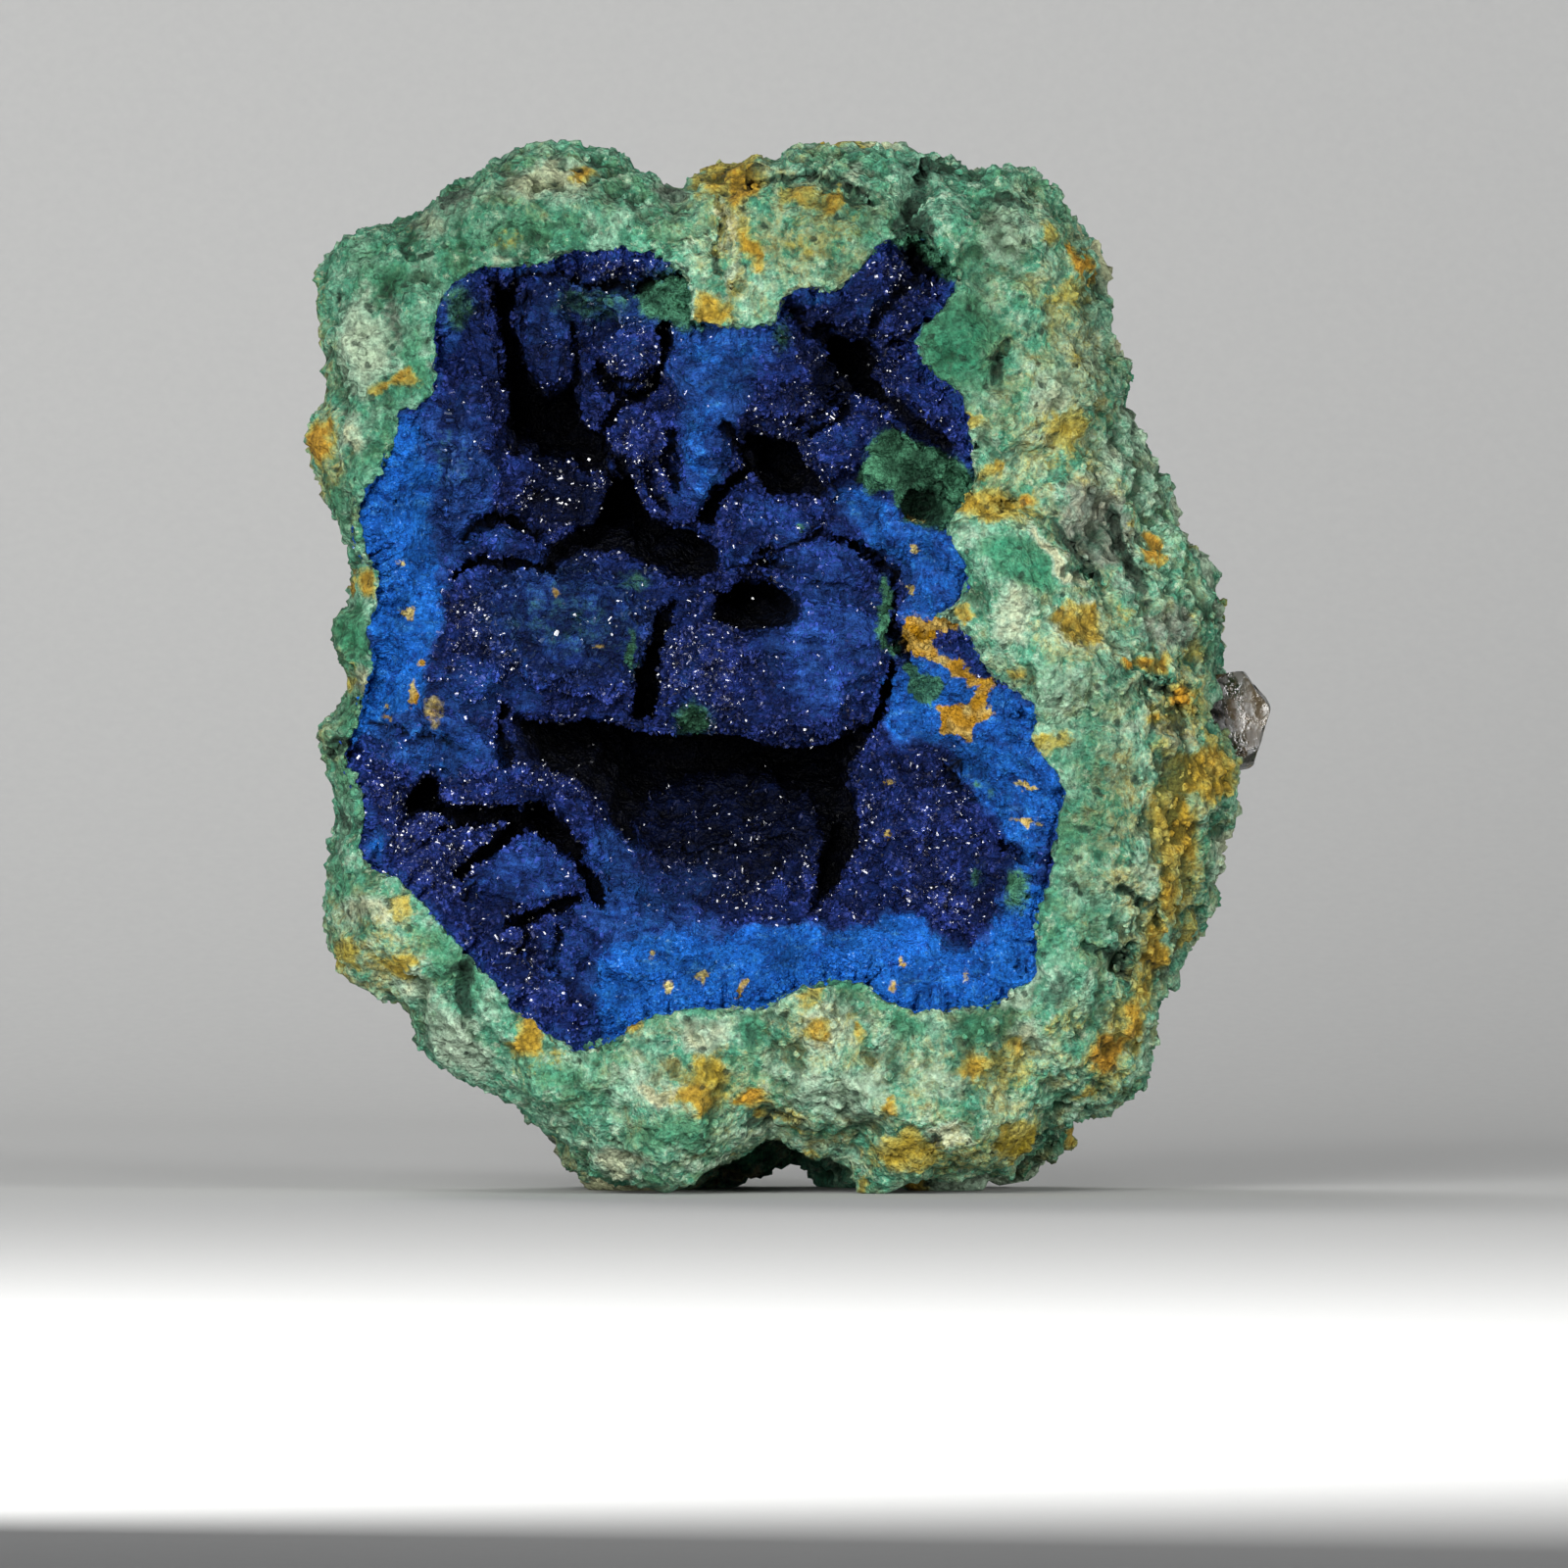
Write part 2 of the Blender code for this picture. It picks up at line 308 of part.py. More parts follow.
def rock_relief(x, z):
    """How far the rock's face stands out, in lobes, or goes in, in pits."""
    rise = np.zeros(np.shape(x))
    for cx, cz, half_x, half_z, degrees, height in ROCK_LOBES:
        share = ellipse_share(x, z, cx, cz, half_x, half_z, degrees)
        rise += height * smooth((1.25 - share) / 0.75)
    for cx, cz, half_x, half_z, degrees, depth in ROCK_PITS:
        share = ellipse_share(x, z, cx, cz, half_x, half_z, degrees)
        rise -= depth * smooth((1.3 - share) / 0.8)
    return rise


def step_drop(x, z):
    """The rock right of RIGHT_STEP lies lower, and rises back to the face further down and up."""
    outside = inside_distance(x, z, RIGHT_STEP + [(46.0, 46.0), (40.0, 72.0), (24.0, 72.0)])
    return RIGHT_STEP_DROP * smooth(outside / 1.4)


def face_y(x, z, edge):
    """The rock's front, with edge the distance to its outline."""
    width, depth = roll_at(x, z)
    rolled = depth * (1.0 - np.sqrt(1.0 - (1.0 - np.clip(edge / width, 0.0, 1.0)) ** 2))
    bulge = 1.6 * ((x - CENTRE[0]) ** 2 + (z - CENTRE[2]) ** 2) / 45.0**2
    relief = (rock_relief(x, z) - step_drop(x, z)) * smooth(edge / 3.0)
    return FACE_Y + rolled + bulge - relief


def back_y(x, z, edge):
    _, depth = roll_at(x, z)
    round_off = np.sqrt(1.0 - (1.0 - np.clip(edge / BACK_ROLL, 0.0, 1.0)) ** 2)
    return FACE_Y + depth + (BACK_Y - FACE_Y - depth) * round_off


def azurite_depth(x, z):
    """How far the azurite's front lies behind the rock's face."""
    border = inside_distance(x, z, AZURITE_OUTLINE)
    at_rim, at_middle, bank = AZURITE_SINK
    depth = at_rim * smooth(border / 2.0) + (at_middle - at_rim) * smooth(border / bank)
    for cx, cz, half_x, half_z, degrees, rise in BLOCKS:
        share = ellipse_share(x, z, cx, cz, half_x, half_z, degrees)
        depth -= rise * smooth((1.2 - share) / 0.55)
    for points, half_width, crack_depth in CRACKS:
        depth += crack_depth * smooth((1.6 * half_width - line_distance(x, z, points)) / half_width)
    return np.maximum(depth, 0.2)


# ---------------------------------------------------------------- Blender helpers
def clear_scene():
    for obj in list(bpy.data.objects):
        bpy.data.objects.remove(obj, do_unlink=True)


def new_collection(name):
    made = bpy.data.collections.new(name)
    bpy.context.scene.collection.children.link(made)
    return made


def add_object(name, mesh, collection):
    made = bpy.data.objects.new(name, mesh)
    collection.objects.link(made)
    return made


def mesh_from(build):
    """A mesh from a bmesh, which is then freed."""
    mesh = bpy.data.meshes.new("shape")
    build.to_mesh(mesh)
    build.free()
    return mesh


def points_of(mesh):
    places = np.empty(len(mesh.vertices) * 3)
    mesh.vertices.foreach_get("co", places)
    return places.reshape(-1, 3)


def set_points(mesh, places):
    mesh.vertices.foreach_set("co", np.ascontiguousarray(places, dtype=np.float32).ravel())
    mesh.update()


def normals_of(mesh):
    found = np.empty(len(mesh.vertices) * 3)
    mesh.vertex_normals.foreach_get("vector", found)
    return found.reshape(-1, 3)


def apply_modifiers(obj):
    """The evaluated mesh takes the place of the object's own, and its modifiers go."""
    graph = bpy.context.evaluated_depsgraph_get()
    bpy.context.view_layer.update()
    made = bpy.data.meshes.new_from_object(obj.evaluated_get(graph))
    obj.modifiers.clear()
    obj.data = made


def fuse(obj, voxel):
    """Closes overlapping shapes into one skin."""
    remesh = obj.modifiers.new("fuse", "REMESH")
    remesh.mode = "VOXEL"
    remesh.voxel_size = voxel * MM
    apply_modifiers(obj)


def thin_out(obj, triangles, keep=None):
    """Fewer triangles, and where keep is near 1 they stay closer together."""
    obj.data.calc_loop_triangles()
    decimate = obj.modifiers.new("thin_out", "DECIMATE")
    decimate.ratio = min(1.0, triangles / len(obj.data.loop_triangles))
    if keep is not None:
        group = obj.vertex_groups.new(name="thinned_more")
        for i, weight in enumerate(keep):
            group.add([i], 1.0 - 0.9 * float(weight), "REPLACE")
        decimate.vertex_group = group.name
        decimate.vertex_group_factor = KEEP_STRENGTH
    apply_modifiers(obj)


def boolean(obj, other, operation):
    cut = obj.modifiers.new(operation.lower(), "BOOLEAN")
    cut.operation = operation
    cut.object = other
    apply_modifiers(obj)


def keep_largest(obj):
    """Drops the small loose crumbs that a cut can leave."""
    build = bmesh.new()
    build.from_mesh(obj.data)
    left, bodies = set(build.verts), []
    while left:
        body, edge_of_body = set(), [next(iter(left))]
        while edge_of_body:
            vertex = edge_of_body.pop()
            if vertex in body:
                continue
            body.add(vertex)
            edge_of_body += [edge.other_vert(vertex) for edge in vertex.link_edges]
        left -= body
        bodies.append(body)
    largest = max(bodies, key=len)
    crumbs = [vertex for body in bodies if body is not largest for vertex in body]
    bmesh.ops.delete(build, geom=crumbs, context="VERTS")
    obj.data = mesh_from(build)


def roughen(mesh, sizes, share=1.0):
    """Moves each vertex along its normal by noise: sizes holds (lump size, height) in millimetres."""
    places, directions = points_of(mesh), normals_of(mesh)
    moved = np.zeros(len(places))
    for size, height in sizes:
        for i, place in enumerate(places):
            moved[i] += height * MM * noise.noise(Vector(place) / (size * MM))
    set_points(mesh, places + directions * (moved * share)[:, None])


def ellipsoid(build, centre, half_sizes, subdivisions=3):
    """Adds a sphere scaled to its half sizes."""
    matrix = Matrix.Translation(Vector(centre) * MM) @ Matrix.Diagonal((*[h * MM for h in half_sizes], 1.0))
    bmesh.ops.create_icosphere(build, subdivisions=subdivisions, radius=1.0, matrix=matrix)


def helper(obj):
    obj.hide_render = True
    obj.display_type = "WIRE"


# ---------------------------------------------------------------- the rock
def rock_body_points(directions):
    """Places where rays from the rock's centre leave it, by halving each ray's stretch."""
    centre = np.array(CENTRE)
    near, far = np.zeros(len(directions)), np.full(len(directions), 75.0)
    for _ in range(16):
        middle = (near + far) / 2.0
        x, y, z = (centre + directions * middle[:, None]).T
        edge = inside_distance(x, z, ROCK_OUTLINE)
        inside = (edge > 0) & (y > face_y(x, z, edge)) & (y < back_y(x, z, edge))
        near, far = np.where(inside, middle, near), np.where(inside, far, middle)
    return centre + directions * near[:, None]


def make_rock(collection):
    build = bmesh.new()
    bmesh.ops.create_icosphere(build, subdivisions=6, radius=1.0)
    mesh = mesh_from(build)
    directions = points_of(mesh)
    directions /= np.linalg.norm(directions, axis=1)[:, None]
    set_points(mesh, rock_body_points(directions) * MM)
    build = bmesh.new()
    build.from_mesh(mesh)
    for x, behind, z, *half_sizes in EDGE_LUMPS:
        ellipsoid(build, (x, FACE_Y + behind, z), half_sizes)
    for x, y, z, *half_sizes in FEET + BACK_LUMPS:
        ellipsoid(build, (x, y, z), half_sizes, subdivisions=4)
    rock = add_object("host_rock", mesh_from(build), collection)
    fuse(rock, 0.9)
    behind = points_of(rock.data)[:, 1] / MM
    roughen(rock.data, [(24.0, BACK_WAVES), (11.0, BACK_WAVES / 2.0)], smooth((behind + 2.0) / 14.0))
    roughen(rock.data, [(13.0, 1.4), (5.0, 1.0), (2.6, 0.6)])
    thin_out(rock, ROCK_TRIANGLES, keep=smooth((4.0 - behind) / 16.0))
    return rock


def cut_base(obj):
    """Wears the feet flat at z = 0."""
    build = bmesh.new()
    build.from_mesh(obj.data)
    everything = build.verts[:] + build.edges[:] + build.faces[:]
    cut = bmesh.ops.bisect_plane(build, geom=everything, plane_co=(0, 0, 0), plane_no=(0, 0, -1), clear_outer=True)
    rim = [item for item in cut["geom_cut"] if isinstance(item, bmesh.types.BMEdge)]
    bmesh.ops.edgenet_fill(build, edges=rim)
    bmesh.ops.triangulate(build, faces=build.faces[:])
    bmesh.ops.recalc_face_normals(build, faces=build.faces[:])
    obj.data = mesh_from(build)


# ---------------------------------------------------------------- the azurite
def outline_block(name, grow, collection):
    """The azurite's outline carried straight into the rock, its sides moved out by grow."""
    build = bmesh.new()
    front = FACE_Y - 12.0
    face = build.faces.new([build.verts.new((x * MM, front * MM, z * MM)) for x, z in AZURITE_OUTLINE])
    carried = bmesh.ops.extrude_face_region(build, geom=[face])
    moved = [item for item in carried["geom"] if isinstance(item, bmesh.types.BMVert)]
    bmesh.ops.translate(build, verts=moved, vec=(0.0, (SLAB_BACK_Y - 2.0 - front) * MM, 0.0))
    bmesh.ops.recalc_face_normals(build, faces=build.faces[:])
    build.normal_update()
    for vertex, normal in [(v, v.normal.copy()) for v in build.verts]:
        vertex.co += Vector((normal.x, 0.0, normal.z)).normalized() * grow * MM
    block = add_object(name, mesh_from(build), collection)
    helper(block)
    return block


def slab(name, front, collection):
    """A closed slab: its front is a grid moved to these points, and its back is flat."""
    rows, columns, _ = front.shape
    build = bmesh.new()
    bmesh.ops.create_grid(build, x_segments=columns - 1, y_segments=rows - 1, size=0.5)
    for vertex in build.verts:
        column = round((vertex.co.x + 0.5) * (columns - 1))
        row = round((vertex.co.y + 0.5) * (rows - 1))
        vertex.co = Vector(front[row, column]) * MM
    rim = [edge for edge in build.edges if edge.is_boundary]
    walls = bmesh.ops.extrude_edge_only(build, edges=rim)["geom"]
    for vertex in (item for item in walls if isinstance(item, bmesh.types.BMVert)):
        vertex.co.y = SLAB_BACK_Y * MM
    back_rim = [item for item in walls if isinstance(item, bmesh.types.BMEdge) and item.is_boundary]
    bmesh.ops.edgenet_fill(build, edges=back_rim)
    bmesh.ops.triangulate(build, faces=build.faces[:])
    bmesh.ops.recalc_face_normals(build, faces=build.faces[:])
    return add_object(name, mesh_from(build), collection)


def grid_over_azurite(cell, margin):
    """x and z at the crossings of a grid that covers the azurite's outline."""
    xs, zs = np.array(AZURITE_OUTLINE).T
    across = np.arange(xs.min() - margin, xs.max() + margin + cell, cell)
    up = np.arange(zs.min() - margin, zs.max() + margin + cell, cell)
    return np.meshgrid(across, up)


def azurite_front(x, z):
    """Points of the azurite's surface: deep in a cleft they lean, and so undercut one of its walls."""
    y = face_y(x, z, inside_distance(x, z, ROCK_OUTLINE)) + azurite_depth(x, z)
    x, z = x.copy(), z.copy()
    flat_x, flat_z = x.copy(), z.copy()
    for outline, depth, bank, (lean_x, lean_z) in CLEFTS.values():
        sunk = depth * smooth(inside_distance(flat_x, flat_z, outline) / bank)
        y += sunk
        x += sunk * lean_x
        z += sunk * lean_z
    return np.stack([x, y, z], axis=2)


def backing_front(fine):
    """Where the rock begins behind the azurite: a smooth sheet that keeps clear of every cleft."""
    cell = 1.2
    x, z = grid_over_azurite(cell, 4.0)
    y = np.full(x.shape, FACE_Y)
    column = np.clip(np.round((fine[..., 0] - x[0, 0]) / cell).astype(int), 0, x.shape[1] - 1)
    row = np.clip(np.round((fine[..., 2] - z[0, 0]) / cell).astype(int), 0, x.shape[0] - 1)
    np.maximum.at(y, (row, column), fine[..., 1])
    for _ in range(round(CRUST_REACH / cell)):
        wide = np.pad(y, 1, mode="edge")
        y = np.maximum.reduce([wide[1:-1, :-2], wide[1:-1, 2:], wide[:-2, 1:-1], wide[2:, 1:-1], y])
    for _ in range(2):
        wide = np.pad(y, 1, mode="edge")
        y = (wide[1:-1, :-2] + wide[1:-1, 2:] + wide[:-2, 1:-1] + wide[2:, 1:-1] + 2.0 * y) / 6.0
    return np.stack([x, y + CRUST_THICKNESS, z], axis=2)


def make_crust(helpers, collection):
    """The azurite's relief over the rock, and the block that has to be cut from the rock for it."""
    fine = azurite_front(*grid_over_azurite(0.5, 3.0))
    crust = slab("azurite_crust", fine, collection)
    fuse(crust, 0.55)
    roughen(crust.data, [(4.0, 0.8), (1.8, 0.5)])
    thin_out(crust, CRUST_TRIANGLES)
    boolean(crust, outline_block("azurite_outline", 0.0, helpers), "INTERSECT")

    backing = slab("rock_behind_azurite", backing_front(fine), helpers)
    thin_out(backing, BACKING_TRIANGLES)
    helper(backing)
    boolean(crust, backing, "DIFFERENCE")
    keep_largest(crust)

    set_points(backing.data, points_of(backing.data) - normals_of(backing.data) * JOINT_GAP * MM)
    socket = outline_block("azurite_socket", JOINT_GAP, helpers)
    boolean(socket, backing, "DIFFERENCE")
    return crust, socket


# ---------------------------------------------------------------- the quartz grain
def make_quartz(name, grow, collection):
    """A scaled sphere with flat broken faces."""
    build = bmesh.new()
    ellipsoid(build, QUARTZ_AT, [h + grow for h in QUARTZ_HALF], subdivisions=2)
    for at, outward in QUARTZ_CUTS:
        direction = Vector(outward).normalized()
        on_plane = (Vector(QUARTZ_AT) + Vector(at) + direction * grow) * MM
        everything = build.verts[:] + build.edges[:] + build.faces[:]
        cut = bmesh.ops.bisect_plane(build, geom=everything, plane_co=on_plane, plane_no=direction, clear_outer=True)
        rim = [item for item in cut["geom_cut"] if isinstance(item, bmesh.types.BMEdge)]
        bmesh.ops.edgenet_fill(build, edges=rim)
    bmesh.ops.recalc_face_normals(build, faces=build.faces[:])
    return add_object(name, mesh_from(build), collection)


# ---------------------------------------------------------------- finish
def give_material(obj, name, colour, roughness, transmission=0.0):
    material = bpy.data.materials.new(name)
    material.use_nodes = True
    shader = material.node_tree.nodes["Principled BSDF"]
    shader.inputs["Base Color"].default_value = (*colour, 1.0)
    shader.inputs["Roughness"].default_value = roughness
    shader.inputs["Metallic"].default_value = 0.0
    shader.inputs["Transmission Weight"].default_value = transmission
    obj.data.materials.clear()
    obj.data.materials.append(material)


def centre_on_origin(objects):
    """Moves everything so that the origin is the middle of the base."""
    places = np.vstack([points_of(obj.data) for obj in objects])
    low, high = places.min(axis=0), places.max(axis=0)
    shift = np.array([(low[0] + high[0]) / 2, (low[1] + high[1]) / 2, low[2]])
    for obj in objects:
        set_points(obj.data, points_of(obj.data) - shift)
    print("moved by", np.round(-shift / MM, 3), "mm; size", np.round((high - low) / MM, 2))


def main():
    clear_scene()
    parts = new_collection("azurite_specimen")
    helpers = new_collection("cutters")
    helpers.hide_render = True

    rock = make_rock(parts)
    cut_base(rock)
    crust, azurite_socket = make_crust(helpers, parts)
    boolean(rock, azurite_socket, "DIFFERENCE")
    keep_largest(rock)

    quartz = make_quartz("quartz_grain", 0.0, parts)
    quartz_socket = make_quartz("quartz_socket", JOINT_GAP, helpers)
    helper(quartz_socket)
    boolean(rock, quartz_socket, "DIFFERENCE")

    give_material(rock, "malachite_stained_rock", (0.16, 0.33, 0.22), 0.9)
    give_material(crust, "azurite", (0.02, 0.06, 0.42), 0.5)
    give_material(quartz, "quartz", (0.75, 0.70, 0.58), 0.15, transmission=0.8)
    centre_on_origin([rock, crust, quartz])


main()
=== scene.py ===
# %% [markdown]
# # An azurite specimen
# This is a broken-open nodule. Its shell is a crumbly host rock stained green by malachite, and its hollow
# is lined with azurite: bright blue powder at the rim and a crust of tiny dark crystals, a druse, inside. A
# grain of quartz sits in its right side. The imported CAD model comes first, as a frame that never moves: it
# has the main shapes, and everything below is the finish that goes over them.

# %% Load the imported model
import math

import bpy
import numpy as np
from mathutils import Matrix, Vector, noise
from mathutils.bvhtree import BVHTree


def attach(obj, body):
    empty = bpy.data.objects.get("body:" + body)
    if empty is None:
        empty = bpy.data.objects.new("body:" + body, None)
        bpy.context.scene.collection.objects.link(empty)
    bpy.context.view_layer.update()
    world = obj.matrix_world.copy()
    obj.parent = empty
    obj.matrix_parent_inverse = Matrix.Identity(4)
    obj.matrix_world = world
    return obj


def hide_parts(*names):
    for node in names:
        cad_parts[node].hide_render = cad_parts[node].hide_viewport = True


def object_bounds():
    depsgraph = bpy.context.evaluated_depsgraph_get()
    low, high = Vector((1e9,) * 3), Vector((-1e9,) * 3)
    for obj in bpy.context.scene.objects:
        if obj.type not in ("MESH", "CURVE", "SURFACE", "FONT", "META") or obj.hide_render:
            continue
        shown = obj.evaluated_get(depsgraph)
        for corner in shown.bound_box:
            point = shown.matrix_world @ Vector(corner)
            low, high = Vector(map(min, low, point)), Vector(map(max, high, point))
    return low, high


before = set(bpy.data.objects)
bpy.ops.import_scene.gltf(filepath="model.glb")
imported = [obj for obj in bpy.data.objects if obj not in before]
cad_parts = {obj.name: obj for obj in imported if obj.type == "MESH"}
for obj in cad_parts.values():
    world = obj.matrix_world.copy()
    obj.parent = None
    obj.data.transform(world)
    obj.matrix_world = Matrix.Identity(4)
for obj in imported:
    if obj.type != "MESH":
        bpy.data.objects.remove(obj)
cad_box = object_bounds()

print("CAD nodes:", sorted(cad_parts))
print("CAD box in mm:", [[round(1000 * v, 1) for v in corner] for corner in cad_box])

# %% [markdown]
# ## Units, colours and nodes
# Blender works in metres, and a specimen is measured in millimetres, so lengths below are in millimetres
# and MM turns them into metres. Places on the specimen are written as (x, z) seen from the front, x from
# the middle of its face and z from the ground. The CAD model is centred on its own box, so CENTRING moves a
# place into it. Colours are picked as sRGB hex values, as on a colour picker, and one function turns them
# into the linear values that a shader needs.

# %% Units and colours
MM = 0.001
CENTRING = np.array([-0.396, 0.623, 0.0])
LOW, HIGH = np.array(cad_box[0]), np.array(cad_box[1])


def linear(hex_colour):
    """An sRGB hex colour as the linear RGBA that shaders use."""
    shares = [int(hex_colour[i:i + 2], 16) / 255 for i in (1, 3, 5)]
    return [v / 12.92 if v <= 0.04045 else ((v + 0.055) / 1.055) ** 2.4 for v in shares] + [1.0]


# %% One function adds any node
def add(tree, kind, inputs=None, **settings):
    """Adds a node with its settings, and sets each input to a value or links it to another node's output."""
    node = tree.nodes.new(kind)
    for name, value in settings.items():
        setattr(node, name, value)
    for name, value in (inputs or {}).items():
        if isinstance(value, bpy.types.NodeSocket):
            tree.links.new(value, node.inputs[name])
        else:
            node.inputs[name].default_value = value
    return node


MIX_FACTOR, MIX_A, MIX_B, MIX_COLOUR = 0, 6, 7, 2  # sockets of a Mix node that is set to colours

# %% [markdown]
# ## Working with whole meshes
# A rock has a hundred thousand points, and a zone of colour or a crack covers thousands of them. Going
# through them one at a time in Python is slow, so numpy reads all the places at once, works on them and
# puts them back.

# %% Helpers for objects and their points
def only(obj):
    """Deselects everything else, so that an operator acts on this object alone."""
    bpy.ops.object.select_all(action="DESELECT")
    obj.select_set(True)
    bpy.context.view_layer.objects.active = obj


def modify(obj, kind, **settings):
    """Adds a modifier and applies it."""
    only(obj)
    modifier = obj.modifiers.new(kind, kind)
    for name, value in settings.items():
        setattr(modifier, name, value)
    bpy.ops.object.modifier_apply(modifier=modifier.name)


def copy_of_node(node, name):
    """A new object with a merged copy of a CAD node's loose triangles."""
    obj = bpy.data.objects.new(name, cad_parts[node].data.copy())
    obj.data.name = name
    obj.data.materials.clear()
    bpy.context.scene.collection.objects.link(obj)
    only(obj)
    bpy.ops.object.mode_set(mode="EDIT")
    bpy.ops.mesh.select_all(action="SELECT")
    bpy.ops.mesh.remove_doubles(threshold=0.005 * MM)
    bpy.ops.mesh.normals_make_consistent(inside=False)
    bpy.ops.object.mode_set(mode="OBJECT")
    return obj


def places_of(obj):
    """Every point of a mesh, in millimetres, counted as the lists of places are."""
    flat = np.empty(3 * len(obj.data.vertices))
    obj.data.vertices.foreach_get("co", flat)
    return flat.reshape(-1, 3) / MM - CENTRING


def set_places(obj, places):
    """Puts the points back, never outside the CAD model's box."""
    inside = np.clip((places + CENTRING) * MM, LOW, HIGH)
    obj.data.vertices.foreach_set("co", inside.ravel())
    obj.data.update()


def normals_of(obj):
    """Which way the surface faces at every point of a mesh."""
    flat = np.empty(3 * len(obj.data.vertices))
    obj.data.vertex_normals.foreach_get("vector", flat)
    return flat.reshape(-1, 3)


def write_attribute(obj, name, values):
    """Stores one number at each point, which a material reads with an Attribute node."""
    attribute = obj.data.attributes.get(name) or obj.data.attributes.new(name, "FLOAT", "POINT")
    attribute.data.foreach_set("value", np.ascontiguousarray(values, np.float32))


def read_attribute(obj, name):
    """The numbers that are stored at the points."""
    values = np.empty(len(obj.data.vertices), np.float32)
    obj.data.attributes[name].data.foreach_get("value", values)
    return values


def triangles_of(obj):
    """The triangles of a mesh, each as the numbers of its three points."""
    obj.data.calc_loop_triangles()
    corners = np.empty(3 * len(obj.data.loop_triangles), np.int32)
    obj.data.loop_triangles.foreach_get("vertices", corners)
    return corners.reshape(-1, 3)


# %% Helpers for zones
NOISE_SEED = 1
noise.seed_set(NOISE_SEED)  # without it vector noise starts from the clock, and no two runs are alike


def smooth(t):
    """Rises from 0 to 1 with soft ends."""
    t = np.clip(t, 0.0, 1.0)
    return t * t * (3.0 - 2.0 * t)


def line_distance(x, z, points, closed=False):
    """Distance from each place to a line through the points."""
    ends = points[1:] + points[:1] if closed else points[1:]
    least = np.full(np.shape(x), 1e9)
    for (ax, az), (bx, bz) in zip(points, ends):
        dx, dz = bx - ax, bz - az
        t = np.clip(((x - ax) * dx + (z - az) * dz) / (dx * dx + dz * dz), 0.0, 1.0)
        least = np.minimum(least, np.hypot(x - ax - t * dx, z - az - t * dz))
    return least


def inside_distance(x, z, outline):
    """Distance to an outline, positive inside it."""
    inside = np.zeros(np.shape(x), bool)
    for (ax, az), (bx, bz) in zip(outline, outline[1:] + outline[:1]):
        if az != bz:
            crosses = (az > z) != (bz > z)
            inside ^= crosses & (x < (bx - ax) * (z - az) / (bz - az) + ax)
    return np.where(inside, 1.0, -1.0) * line_distance(x, z, outline, closed=True)


def wander(places, size, reach):
    """Moves places about by smooth noise, so that the edge of a zone read there comes out ragged."""
    shifts = [noise.noise_vector(Vector(p) / size) for p in places]
    return places + reach * np.array(shifts)


def field(places, size, seed):
    """Smooth noise from about -1 to 1 with features of that size."""
    offset = Vector((seed * 17.3, seed * 5.7, seed * 11.1))
    return np.array([noise.noise(Vector(p) / size + offset) for p in places])


def spots(places, marks, soft=0.7):
    """How strongly the marks cover each place, and the tone of the strongest one.

    A mark is an ellipse: (x, z, half width, half height, turn in degrees, strength), and some have a tone.
    """
    level, tone = np.zeros(len(places)), np.zeros(len(places))
    for cx, cz, half_x, half_z, turn, strength, *own_tone in marks:
        a = math.radians(turn)
        dx, dz = places[:, 0] - cx, places[:, 2] - cz
        along = (dx * math.cos(a) + dz * math.sin(a)) / half_x
        across = (dz * math.cos(a) - dx * math.sin(a)) / half_z
        cover = strength * smooth((1.0 + soft - np.hypot(along, across)) / (2.0 * soft))
        tone = np.where(cover > level, own_tone[0] if own_tone else 0.0, tone)
        level = np.maximum(level, cover)
    return level, tone


def areas(places, marks):
    """How strongly outlined marks, each (outline, strength, how wide its edge fades), cover each place."""
    level = np.zeros(len(places))
    for outline, strength, fade in marks:
        inside = inside_distance(places[:, 0], places[:, 2], outline)
        level = np.maximum(level, strength * smooth((inside + fade) / (2.0 * fade)))
    return level


print("Places are kept within", [round(1000 * v, 1) for v in HIGH - LOW], "mm")

# %% [markdown]
# ## The camera
# The specimen is seen square on to its broken face, from straight in front and a little below its middle. A
# wide lens from close by would swell the middle of the face, so a long lens is used from far off, as for
# any mineral.

# %% Camera
FACE_PLANE_Y = -14.4  # where the specimen is widest, seen from the camera
CAMERA_DISTANCE = 1800.0  # from there to the camera
FRAME_WIDTH = 144.0  # what the picture takes in at that distance
CAMERA_HEIGHT = 37.6
SENSOR = 36.0

camera_data = bpy.data.cameras.new("camera")
camera_data.sensor_width = SENSOR
camera_data.lens = SENSOR * CAMERA_DISTANCE / FRAME_WIDTH
camera = bpy.data.objects.new("camera", camera_data)
camera.location = (CENTRING[0] * MM, (FACE_PLANE_Y - CAMERA_DISTANCE) * MM, CAMERA_HEIGHT * MM)
camera.rotation_euler = (math.radians(90), 0, 0)
bpy.context.scene.collection.objects.link(camera)
bpy.context.scene.camera = camera
print("Lens:", camera_data.lens, "mm")

# %% [markdown]
# ## Hollows and cracks in the azurite
# The azurite is split into rounded blocks. Between them gape hollows that look black, and narrow cracks.
# The CAD solids hold the wide ones. Cutting each crack with a boolean would be slow and leave ragged faces,
# so the lips are drawn as outlines and lines in x and z, and one function says how much further back the
# surface lies at a place. Both the crust and the rock behind it are pushed back by it, so that neither
# comes through the other.

